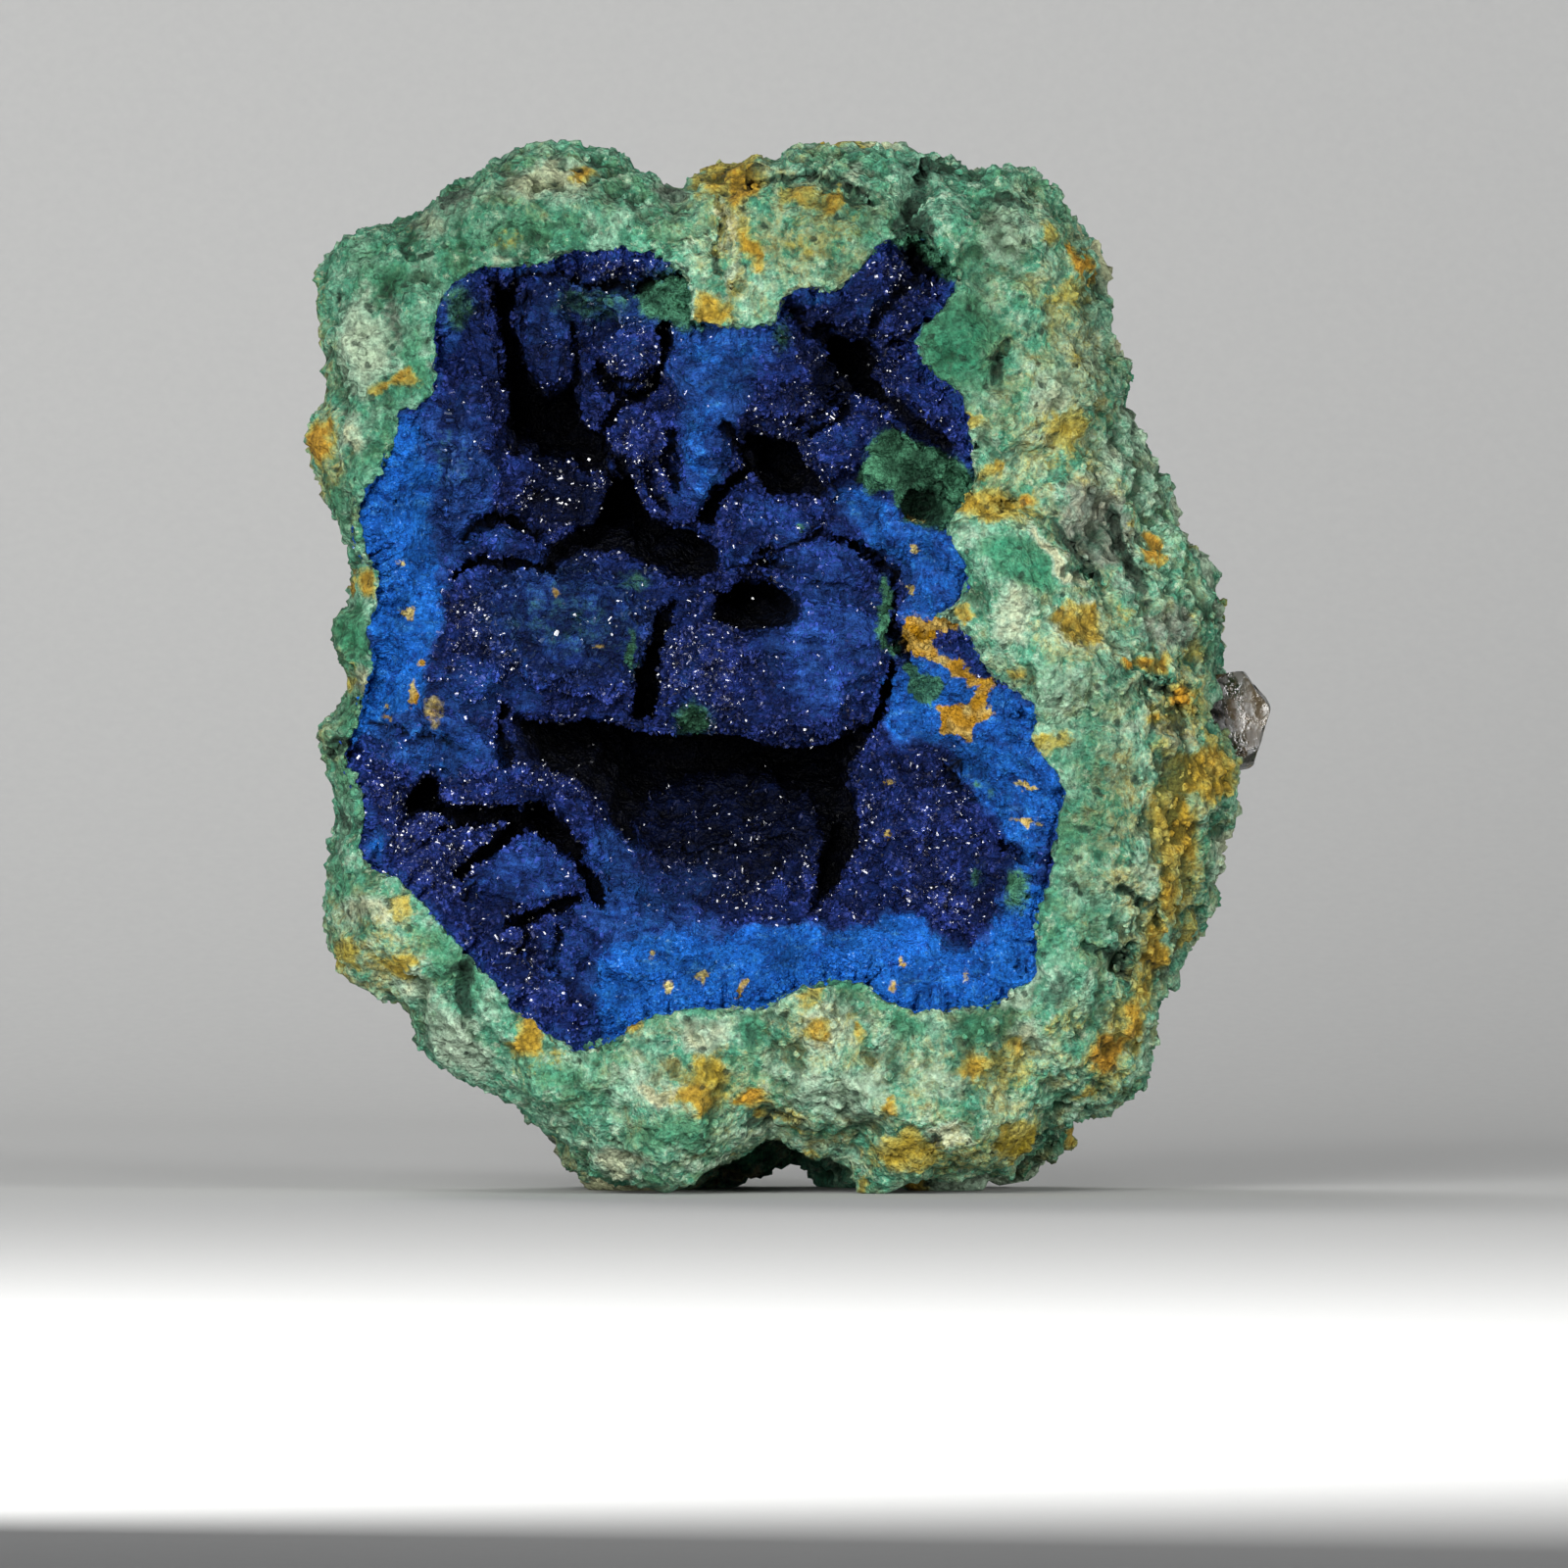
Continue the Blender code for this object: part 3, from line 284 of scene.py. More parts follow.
# %% Where the azurite meets the rock, clockwise from its lowest left corner
AZURITE_OUTLINE = [
    (-24.5, 17.6), (-27.6, 21.2), (-31, 24.7), (-33.6, 27.9), (-36, 29.8), (-38.2, 31), (-38.5, 32.4),
    (-38, 34.4), (-38.2, 37.2), (-39.4, 39.4), (-39.5, 41.4), (-38.5, 43.2), (-37.6, 46.4), (-36.7, 49),
    (-37.9, 51.6), (-36.7, 54), (-36.8, 56.8), (-38.3, 59.8), (-38.5, 62.8), (-36.8, 65.4), (-35.3, 68.2),
    (-34.8, 71.6), (-33.4, 71.4), (-31.6, 73.4), (-31, 77.2), (-31.6, 80.4), (-30.2, 83), (-27.8, 84.3),
    (-23.2, 84.5), (-19.4, 85.6), (-15.2, 86.1), (-12.4, 85.6), (-10.2, 84.4), (-9, 83.4), (-9.2, 79.6),
    (-6, 78.8), (-1, 79), (0.2, 80.6), (0.4, 82.4), (5.2, 82.2), (7.4, 84.7), (10, 87), (12, 87.6),
    (13.6, 86), (15.6, 83.9), (14.8, 81.8), (12.2, 79.6), (11.4, 77.6), (13.2, 74.6), (15.8, 72.6),
    (16.6, 69.4), (17, 66), (15.6, 62.8), (14.2, 61), (16.3, 57.6), (15.8, 54.8), (13.4, 52.9),
    (15.6, 51.6), (17.4, 49), (19.2, 46.6), (22.6, 44.6), (22.4, 41.2), (24.6, 38.6), (25.2, 36.4),
    (24.2, 33.6), (23.9, 29.6), (22.4, 25.6), (22.8, 20.2), (18.6, 17.9), (13, 17.2), (9.8, 18),
    (7.6, 19.8), (4.6, 20.4), (1.2, 19.6), (-2.2, 17.6), (-7, 17.8), (-12.6, 16.8), (-15.6, 15),
    (-19.4, 13.9), (-21.6, 15.6),
]

print("Outline of the azurite:", len(AZURITE_OUTLINE), "points")

# %% Lips of the hollows
# Points of each lip, and how far the surface inside is pushed back
HOLLOWS = [
    ([(-25.4, 43.6), (-18, 43.2), (-12, 42.2), (-5, 42), (1, 41), (4, 41), (5.8, 42.4), (8.4, 43.6),
      (7.4, 41.2), (5.8, 38.5), (6.8, 35.6), (6.9, 32.4), (5.6, 29.2), (2.4, 25.6), (3, 29.6), (3.4, 33.6),
      (2.6, 37), (0, 38.6), (-6, 38.8), (-12, 37.4), (-14, 34), (-13.4, 31.6), (-15.6, 33.6), (-17.6, 37.4),
      (-21.4, 38.6)], 3),
    ([(-6.9, 52.4), (-6.2, 54.6), (-4.6, 55.6), (-1.6, 55.8), (0.6, 55), (1.6, 53.6), (0.6, 52),
      (-1.6, 51.5), (-4.4, 51.4)], 2),
    ([(-25.2, 74.6), (-24.2, 77), (-23.2, 75.2), (-21.6, 72.9), (-20.2, 73.9), (-19.2, 75.2), (-18.8, 72.4),
      (-18.6, 70), (-17, 69.4), (-16.2, 71.6), (-15.4, 73.2), (-13.8, 73.4), (-15.6, 71.4), (-16.4, 68.6),
      (-15.9, 66.2), (-19, 66.6), (-18.8, 68.4), (-22.4, 68.2), (-23.4, 70.4), (-24.9, 68.2),
      (-25.4, 71)], 2.5),
    ([(-21.8, 59.6), (-17.6, 61.4), (-16.4, 63.4), (-16, 66.2), (-13.8, 66), (-12.8, 62.8), (-11, 61),
      (-8.2, 60.8), (-6.2, 59), (-5.9, 57), (-8, 56.4), (-11.6, 57.4), (-15.4, 59.2), (-18.6, 58.8),
      (-20.4, 57.6), (-22, 57.6)], 2.5),
    ([(1.6, 79.4), (3.6, 79.2), (6.2, 78.2), (7.8, 78.6), (8.9, 77), (8.5, 75), (9.9, 73.3), (12.5, 71.2),
      (15.8, 68.4), (15.3, 67.5), (12.3, 69.4), (10.3, 71.2), (8.6, 72.4), (6.8, 73.4), (5.6, 75.2),
      (5.4, 76.6), (3.8, 77.9)], 3),
    ([(8.2, 79.2), (10.6, 82.2), (12.6, 83.9), (15, 83.8), (13.4, 85.2), (11.8, 87.4), (10.4, 86.6),
      (11.6, 84.4), (9.8, 82.8), (7.9, 80)], 2.5),
    ([(-4.4, 69.8), (-2, 69.6), (0.6, 69), (1.8, 67.4), (3.2, 65.8), (4.3, 64.6), (3.6, 63.8), (0.6, 64),
      (-1.8, 64.2), (-2.8, 65.8), (-3.2, 67.6)], 2),
    ([(-35.2, 36.4), (-34, 37.4), (-33, 38.8), (-31.9, 38.6), (-31.4, 36.8), (-31.5, 35.3), (-33, 34.8),
      (-34.8, 34.7)], 3),
    ([(-24.3, 34.2), (-22.4, 35.8), (-20.6, 34.9), (-19.6, 33.2), (-18.2, 31.9), (-18.3, 30.6),
      (-19.8, 30.9), (-21.2, 31.9), (-22.6, 33.3)], 3),
    ([(-10.3, 54), (-10.9, 51.4), (-11.2, 48.4), (-11.5, 45.6), (-12, 43.6), (-13.8, 43.6), (-13.6, 46.4),
      (-13, 49), (-12.2, 51.6), (-11, 53.8)], 3),
]
print("Hollows:", len(HOLLOWS))

# %% Lines of the cracks
# Points of each crack in the azurite, half width, depth
CRACKS = [
    ([(-24.6, 83.6), (-25.6, 82), (-25.6, 79), (-24.9, 77), (-24.6, 74.6)], 0.45, 3),
    ([(-26.6, 83.2), (-25.6, 82)], 0.6, 2),
    ([(-24.4, 84), (-22, 84.2), (-20.2, 84.5), (-18.6, 83.3), (-16, 82.9), (-13.4, 82.9), (-11.6, 83.9),
      (-9.8, 84.3), (-7.4, 84.4)], 0.25, 2),
    ([(-14, 73.2), (-12.2, 73.5), (-11.4, 75.4), (-10.9, 77.4), (-10.8, 79.4)], 0.45, 4),
    ([(-17.2, 76.6), (-16.4, 74.4), (-15.2, 73.4)], 0.35, 3),
    ([(-19.3, 79.6), (-19, 77), (-18.9, 74.4)], 0.3, 2.4),
    ([(-15.4, 74.6), (-13, 74.4), (-11.6, 75.2)], 0.3, 2.4),
    ([(-16.4, 68.8), (-14.8, 66.6), (-14.2, 65.8)], 0.5, 3),
    ([(-29.2, 60.4), (-28.2, 61.4), (-26.4, 62), (-24.6, 61.4), (-22.6, 60.2)], 0.4, 3),
    ([(-30.4, 56.4), (-28.6, 57.8), (-26.4, 58), (-24.2, 57.6), (-21.2, 57.5)], 0.35, 3),
    ([(-7.2, 62), (-6.2, 64), (-4.8, 65.2), (-4, 66)], 0.5, 3.4),
    ([(-10.4, 69.6), (-10.8, 67.2), (-9.9, 64.6)], 0.3, 2),
    ([(-12.6, 66.2), (-12, 64), (-10.6, 62.6)], 0.35, 2.4),
    ([(-5.4, 70.2), (-4.2, 68.6), (-3.2, 66.6)], 0.5, 3),
    ([(2.2, 69.6), (4.4, 70.6), (5.6, 71.8)], 0.35, 2.4),
    ([(-31.6, 35.1), (-29, 34.6), (-27, 34.9), (-24.6, 34.8)], 0.5, 3.6),
    ([(-29.8, 29.2), (-28.4, 30.8), (-26.2, 31.9), (-24.2, 34)], 0.5, 3.6),
    ([(-33.2, 31.8), (-31.8, 33.2), (-29.6, 34)], 0.3, 2),
    ([(-18.8, 31), (-18.2, 29.2), (-16.8, 26.9)], 0.55, 3.6),
    ([(-24.8, 24.8), (-23.4, 25.8), (-21.6, 26.1), (-18.8, 27.3)], 0.45, 3),
    ([(-23.4, 25.6), (-23.8, 22.8)], 0.3, 2),
    ([(6.4, 59.6), (8.4, 58.1), (10, 57), (10.4, 54.6), (9.9, 51.8), (10.6, 50.2),
      (11.4, 49.2)], 0.25, 2.4),
    ([(9.8, 48.6), (9.3, 46), (8.8, 44.2), (7.8, 43)], 0.35, 3), ([(3.6, 60.4), (6.4, 59.6)], 0.28, 2),
    ([(0.1, 82.2), (0.8, 80.6), (1.8, 79.4)], 0.4, 3),
    ([(15.2, 39), (15.7, 37.2), (17.4, 36.2)], 0.25, 1.4), ([(20, 32.2), (22.2, 30.6)], 0.25, 1.4),
    ([(-25.6, 44.6), (-26, 42), (-25.2, 39.6)], 0.4, 2.4), ([(-20.8, 24.8), (-21.4, 20.6)], 0.25, 1.6),
    ([(-2.4, 58.6), (0.6, 59.4), (3.6, 60.4)], 0.25, 1.6), ([(13.2, 80), (11.4, 78.4), (9.4, 78)], 0.35, 2),
    ([(-5, 57.2), (-1.6, 58), (0.4, 57.4)], 0.3, 1.6), ([(5.2, 73.8), (3.4, 71.6), (1.2, 70.4)], 0.3, 2),
    ([(-38, 43.4), (-35, 42.4), (-31.4, 41.6), (-28.8, 40.6)], 0.2, 0.8),
]
# The same for cracks in the rock
ROCK_CRACKS = [
    ([(19.2, 74.6), (19.5, 76.2), (20.4, 78.2)], 0.3, 1.2),
    ([(-6.2, 91.6), (-5.7, 88.6), (-6.3, 86.8), (-5.9, 83.4)], 0.2, 0.8),
    ([(13.2, 94.4), (12.2, 91.4), (10.4, 88.6), (11.2, 86.6)], 0.5, 1.6),
    ([(18, 91.2), (20.4, 91.4), (22.6, 90.4)], 0.3, 1),
    ([(-34.8, 86.2), (-33.6, 85.6), (-32, 86.2)], 0.25, 0.8),
    ([(-2.6, 92.8), (2, 93.2), (7.4, 91.6)], 0.3, 1), ([(24.6, 61.6), (26.6, 58.6), (28.8, 56.4)], 0.35, 1),
    ([(30, 62.4), (31, 58.8), (33, 55.4)], 0.5, 1.3),
    ([(-28.8, 21.4), (-29.6, 18.8), (-29, 16.6)], 0.5, 1.2), ([(12.8, 4.2), (13.8, 5.2)], 0.45, 1.4),
    ([(-3.6, 6.2), (-1.4, 7.4), (0.6, 7.2)], 0.35, 1),
    ([(33.2, 46.8), (35.8, 46.2), (37.6, 44)], 0.35, 1.2),
    ([(30.6, 28), (33.4, 26.4), (34.4, 24.6)], 0.4, 1.2),
    ([(27.4, 22.8), (30.6, 21.6), (31.4, 19.4)], 0.4, 1.2),
    ([(17.4, 62.4), (20.6, 63.2), (23.6, 61.8)], 0.3, 0.9),
    ([(-41.4, 40.4), (-40, 41.4), (-39.2, 41)], 0.4, 1),
]
print("Cracks:", len(CRACKS), "in the azurite and", len(ROCK_CRACKS), "in the rock")

# %% Clefts to fill, and how far back a place lies
# Clefts that the CAD solid holds wider than they are: outline, and the y that the surface comes forward to
FILLS = [
    ([(11, 54.8), (14.4, 55), (14.9, 53), (14.4, 51.6), (12.2, 51.2), (11, 52.2)], -24.8),
    ([(-30, 84.4), (-26.5, 83.8), (-26.2, 80), (-25.5, 77.2), (-25.5, 75.2), (-27.4, 73.4),
      (-29.6, 76)], -22.8),
    ([(-24.9, 83.8), (-25, 80), (-24.3, 77.4), (-23.2, 77.6), (-22.4, 80), (-22.4, 83.8)], -23.6),
    ([(2, 77.4), (3.9, 77.5), (5.2, 76.2), (5.4, 74.8), (6.4, 73.6), (7, 72.4), (4.2, 72.2),
      (2.2, 73.6)], -20.6),
    ([(-10.4, 81.2), (-8.6, 80.8), (-8.6, 78.4), (-10.3, 78.2)], -24.2),
    ([(7.2, 78.4), (9, 79.4), (9.6, 77), (9.4, 74.4), (8.4, 75.6), (8.6, 77)], -23),
    ([(-18.7, 32), (-18.7, 31), (-17.5, 29), (-16.8, 27.5), (-16.4, 26.4), (-15.4, 26.4), (-15.8, 28.4),
      (-16.4, 30.2), (-17.2, 32)], -21.6),
]


def gaping(x, z):
    """How far each place lies inside a hollow or a crack, from 0 to 1, and how far it is pushed back."""
    share, push = np.zeros(len(x)), np.zeros(len(x))
    for lip, depth in HOLLOWS:
        inside = smooth((inside_distance(x, z, lip) + 0.35) / 0.8)
        share, push = np.maximum(share, inside), np.maximum(push, depth * inside)
    for line, half_width, depth in CRACKS:
        inside = smooth((1.15 * half_width - line_distance(x, z, line)) / (0.6 * half_width))
        share, push = np.maximum(share, inside), np.maximum(push, depth * inside)
    return share, push


def wandering(places):
    """x and z moved about a little, so that no lip or crack is a straight line."""
    moved = wander(places * (1.0, 0.0, 1.0), 1.3, 0.35)
    return moved[:, 0], moved[:, 2]


def rim_distance(places):
    """Distance inside the line where the azurite meets the rock."""
    return inside_distance(places[:, 0], places[:, 2], AZURITE_OUTLINE)


def ragged_rim(places):
    """The same from a line that is frayed at every scale, as blue and green really meet."""
    return rim_distance(wander(wander(places, 2.4, 0.8), 0.7, 0.45))


print("Clefts that are partly filled:", len(FILLS))

# %% [markdown]
# ## Where the rock changes colour
# Malachite green is only a stain here. In places it washes out to mint or cream, iron turns it ochre or
# rusty, and pits, cracks and ledges get painted shade in dark green. An image could be painted over the
# rock, but a painted image needs unwrapping and blurs close up. Here each stain is a listed ellipse, its
# edge is made ragged with noise, and what comes out is stored at the points of the mesh for the material
# to read. The zones follow the front of the rock, and round its sides and back they give way to stains
# laid down by noise alone.

# %% Ochre stains
# x, z, half width, half height, turn, strength, tone from olive (0) over gold (0.5) to rust (1)
OCHRE = [
    (-42.6, 69, 1.4, 2.2, 0, 1, 0.8), (-38.6, 56, 1.2, 1.4, 0, 0.9, 0.7),
    (-39.5, 47, 1.2, 1.2, 0, 0.7, 0.5), (-35.5, 74.3, 2.6, 0.8, 12, 0.8, 0.7),
    (-35.2, 26.5, 1.4, 1.6, 0, 0.7, 0.4), (-35.2, 21, 2.4, 1.1, 0, 0.8, 0.3),
    (-40, 22, 1.6, 1.6, 0, 0.7, 0.1), (-23.6, 14.5, 1.4, 2.7, -24, 0.9, 0.5),
    (-13.5, 15.5, 1.1, 1.1, 0, 0.9, 0.6), (-20.4, 12.6, 0.8, 1.8, 0, 0.5, 0.6),
    (-6.8, 10.8, 2.4, 2.4, 0, 0.9, 0.25), (-7.6, 9, 2.2, 1.2, -10, 0.9, 0.5),
    (-3.2, 8.6, 1.6, 0.8, -24, 0.9, 0.8), (0.6, 6.6, 3.4, 0.8, -28, 0.5, 0.2),
    (-5.5, 93.5, 3.8, 2.6, 0, 0.8, 0.4), (-3.8, 92.4, 1.5, 2, 0, 1, 0.6),
    (-3.2, 86.4, 0.7, 2.4, 16, 0.95, 0.6), (-4.4, 83.2, 0.9, 1.6, 0, 0.6, 0.3),
    (-5.2, 93.8, 0.7, 1, 0, 0.9, 0.9), (1.6, 86.4, 0.8, 1, 0, 0.6, 0.3),
    (-6.5, 80.6, 1.7, 1.5, 20, 0.85, 0.45), (-18.5, 93.2, 1.2, 1, 0, 0.9, 0.6),
    (4.5, 91.2, 1.7, 0.7, 8, 1, 0.6), (1.5, 91.2, 1.7, 0.9, 0, 0.7, 0.6), (3.6, 88, 3.2, 1.2, 0, 0.4, 0.2),
    (24, 88, 1.1, 1.1, 0, 0.7, 0.4), (27.3, 85.6, 0.8, 1.9, 35, 1, 0.85), (26, 82.5, 2.2, 1.6, 0, 0.6, 0.1),
    (27, 76.5, 1, 1, 0, 0.6, 0.5), (25.7, 70, 2.2, 2.4, 0, 0.75, 0.2), (13, 75, 0.8, 0.8, 0, 0.7, 0.4),
    (17.5, 71, 1.7, 1.1, 0, 0.7, 0.4), (19, 66, 1.1, 1, 0, 0.7, 0.5), (18.5, 63, 4.2, 1.1, -18, 0.8, 0.4),
    (22, 63.4, 1, 0.9, 0, 0.9, 0.9), (34, 59.2, 0.9, 1.4, 20, 1, 0.8),
    (12.8, 51.4, 1.9, 1.4, 0, 0.95, 0.45), (14.8, 48.4, 2.8, 0.8, -36, 0.9, 0.5),
    (17.8, 46.3, 1.2, 0.7, -30, 0.9, 0.5), (16.2, 43.5, 2, 1.2, 0, 1, 0.65),
    (16, 43.2, 0.7, 2, 12, 1, 0.65), (16.5, 53.3, 0.9, 0.8, 0, 0.8, 0.5),
    (24.5, 41.4, 2.6, 1.3, 0, 0.7, 0.15), (21.5, 47.5, 0.9, 1, -40, 0.7, 0.6),
    (27.2, 52, 2.2, 1.6, 0, 0.85, 0.4), (25.6, 53.6, 0.8, 1.4, 0, 0.7, 0.45),
    (31.2, 48.2, 0.9, 0.7, 0, 0.9, 1), (33.5, 48.7, 1.2, 1, 0, 1, 0.7), (38, 49.5, 2, 1.5, 0, 0.6, 0.15),
    (36.2, 45.8, 1.3, 1.4, 30, 0.95, 0.85), (34, 43.4, 1, 0.6, 0, 0.8, 0.6),
    (39, 39.5, 2.6, 1.5, 30, 0.8, 0.5), (36.2, 35, 1.5, 3.2, 8, 0.7, 0.4),
    (35.8, 28, 0.9, 2.4, 0, 0.75, 0.5), (34, 22.8, 1, 2.6, -10, 0.85, 0.55),
    (32, 16, 1.1, 3.6, -15, 0.9, 0.6), (29.7, 13, 1.7, 2.2, -20, 1, 0.85),
    (27.4, 9, 1.6, 0.7, 40, 0.8, 0.7), (31.4, 61, 0.8, 0.8, 0, 0.6, 0.4), (17.5, 12, 1.8, 1, 0, 0.85, 0.5),
    (21.5, 13.5, 1.7, 0.6, 0, 0.7, 0.5), (1.8, 18.5, 1.4, 1.6, 0, 0.6, 0.4),
    (3, 15, 1.2, 0.9, -30, 0.85, 0.5), (6.2, 15.5, 0.7, 1.6, 12, 0.85, 0.55),
    (11, 3.8, 3.2, 1.9, 0, 0.85, 0.25), (22.2, 4.5, 2.8, 2.4, 0, 0.85, 0.1),
    (20.4, 5.8, 1.2, 0.8, 0, 0.8, 0.45), (7.5, 1, 0.9, 1.2, 0, 0.7, 0.5), (10, 8, 1.6, 0.7, 34, 0.85, 0.55),
    (2.7, 2.8, 1.4, 0.7, 0, 0.6, 0.4), (23.4, 40.2, 1.2, 0.6, 0, 0.6, 0.5),
    (37.4, 53.4, 1.2, 0.8, 0, 0.5, 0.3), (31, 53, 0.7, 1.4, 20, 0.5, 0.4), (28.4, 67.4, 1, 1, 0, 0.5, 0.4),
    (-25.6, 87.4, 2.6, 1, 0, 0.45, 0.1), (-34.6, 88.8, 2.6, 0.8, 20, 0.35, 0.3),
    (-43, 80, 0.8, 6, 0, 0.5, 0.35), (-4.6, 89.6, 3.4, 7, 0, 0.45, 0.3), (3.4, 88, 5.6, 5, 0, 0.4, 0.05),
    (26.4, 79, 3, 9, 14, 0.42, 0.1), (24, 69, 4.4, 5, 0, 0.42, 0.15), (36.4, 34, 2, 10, 8, 0.6, 0.4),
    (33.2, 22, 2, 7, -8, 0.5, 0.4), (30.4, 14, 2.6, 5.4, -16, 0.6, 0.6),
    (36.6, 44.6, 4.4, 3.4, 20, 0.5, 0.45), (20, 11.6, 6.6, 3.4, 0, 0.4, 0.3),
    (2.6, 14.6, 5.4, 4.4, 0, 0.4, 0.35), (26.4, 50.8, 5, 2.8, 0, 0.42, 0.35),
    (20, 62.8, 5.6, 2, -12, 0.5, 0.3), (-37, 22.6, 4.6, 4.6, 0, 0.4, 0.2),
    (-7.4, 10.4, 4.4, 3.4, 0, 0.45, 0.3), (16, 3.6, 9, 2.6, 4, 0.45, 0.2),
    (37.6, 38.6, 1.8, 2.4, 20, 0.9, 0.4), (36.6, 33, 1.4, 3.4, 8, 0.95, 0.45),
    (35.2, 27.6, 1.2, 3, 10, 0.85, 0.5), (33.8, 21.6, 1.2, 2.6, -8, 0.9, 0.5),
    (40.4, 38, 2.6, 2, 30, 0.9, 0.4), (40, 42, 1.8, 2.2, 0, 0.7, 0.35), (20.4, 12.4, 3, 1.2, 0, 0.6, 0.3),
    (26, 16, 2.6, 1, 30, 0.5, 0.35), (35, 33, 1.8, 6, 4, 0.7, 0.35), (33.4, 20.4, 1.6, 4, -8, 0.7, 0.35),
    (20, 11, 4.4, 2, 0, 0.5, 0.3), (-42, 68, 1.8, 6, 0, 0.45, 0.5), (31, 36, 2.4, 8, 0, 0.34, 0.2),
    (-22.6, 13.4, 2.8, 3.8, -24, 0.4, 0.4),
]
print("Ochre stains:", len(OCHRE))

# %% Pale, vivid and dark places
# The same, with a tone from mint (0) to cream (1)
PALE = [
    (-38.4, 77.6, 2.4, 5.2, 0, 0.8, 0.25), (-22, 92.6, 5.2, 1.9, 6, 0.9, 0.7),
    (-32.4, 88.6, 1.6, 1.3, 0, 0.7, 0.5), (-39.5, 70, 1.5, 2.2, 0, 0.8, 0.8),
    (-38, 47, 1.1, 1.2, 0, 0.8, 0.9), (-37.5, 26, 3.4, 2, 0, 0.8, 0.6), (-34, 19.2, 3, 1.8, -30, 0.7, 0.5),
    (-30, 14.2, 4.6, 2.6, -48, 0.8, 0.1), (-25.5, 85.6, 1.6, 0.7, 0, 0.8, 0.8),
    (-5, 88.6, 0.9, 2.4, 4, 1, 1), (-4.9, 84.2, 0.7, 1.6, 0, 0.7, 0.8), (3.6, 86.6, 3, 2.4, 0, 0.35, 0.6),
    (6, 93.3, 1.5, 1, 0, 0.7, 0.6), (20.6, 87.6, 3, 3.6, 0, 0.6, 0.1), (27, 77, 2.6, 4.6, 0, 0.65, 0.4),
    (24.4, 73, 2.6, 3, 0, 0.7, 0.6), (25, 58.4, 4.2, 0.7, -48, 1, 0.8), (26.6, 51.8, 3, 2.4, 0, 0.85, 0.9),
    (21, 53, 2.8, 2.6, 0, 0.75, 0.6), (25.5, 46.5, 5.4, 3.2, 0, 0.5, 0.1), (31.5, 43, 1.6, 1, 0, 0.7, 0.7),
    (33, 30.5, 1.8, 6.2, 0, 0.5, 0.5), (21, 18.2, 2.8, 0.9, 0, 0.7, 0.4),
    (22.5, 14.6, 2.6, 2.4, 0, 0.65, 0.6), (-7.6, 14.8, 2.6, 2, 0, 0.75, 0.6),
    (-10.6, 9.4, 2.9, 1.1, 8, 1, 1), (-14.6, 2.8, 2.8, 1.3, 0, 0.9, 0.6), (-7.4, 2.6, 4, 1.2, 10, 0.6, 0.4),
    (3.6, 15, 3.6, 3.6, 0, 0.7, 0.8), (15, 5.4, 2.2, 1, 0, 0.9, 0.7), (33.6, 66, 3, 9, 24, 0.5, 0.2),
    (5, 9.6, 7, 3.4, 0, 0.6, 0.1), (29.6, 67, 2.4, 3, 0, 0.6, 0.5), (-41, 36.6, 1, 1.6, 0, 0.4, 0.5),
    (-2.2, 6, 5.4, 1.6, 20, 0.5, 0.2), (-13.6, 11.2, 3, 1.4, 10, 0.55, 0.4),
    (14.4, 10.6, 3.2, 2.2, 0, 0.5, 0.4), (0, 12, 2.4, 3, 0, 0.5, 0.3), (22.4, 20.4, 1.4, 1.6, 0, 0.6, 0.4),
    (16.2, 60.6, 1.6, 0.8, -20, 0.6, 0.6), (26.8, 62.4, 1.2, 1.2, 0, 0.5, 0.4),
    (36.4, 62.4, 1.8, 3, 0, 0.4, 0.2), (6.4, 97, 3, 0.8, 0, 0.3, 0.4),
]
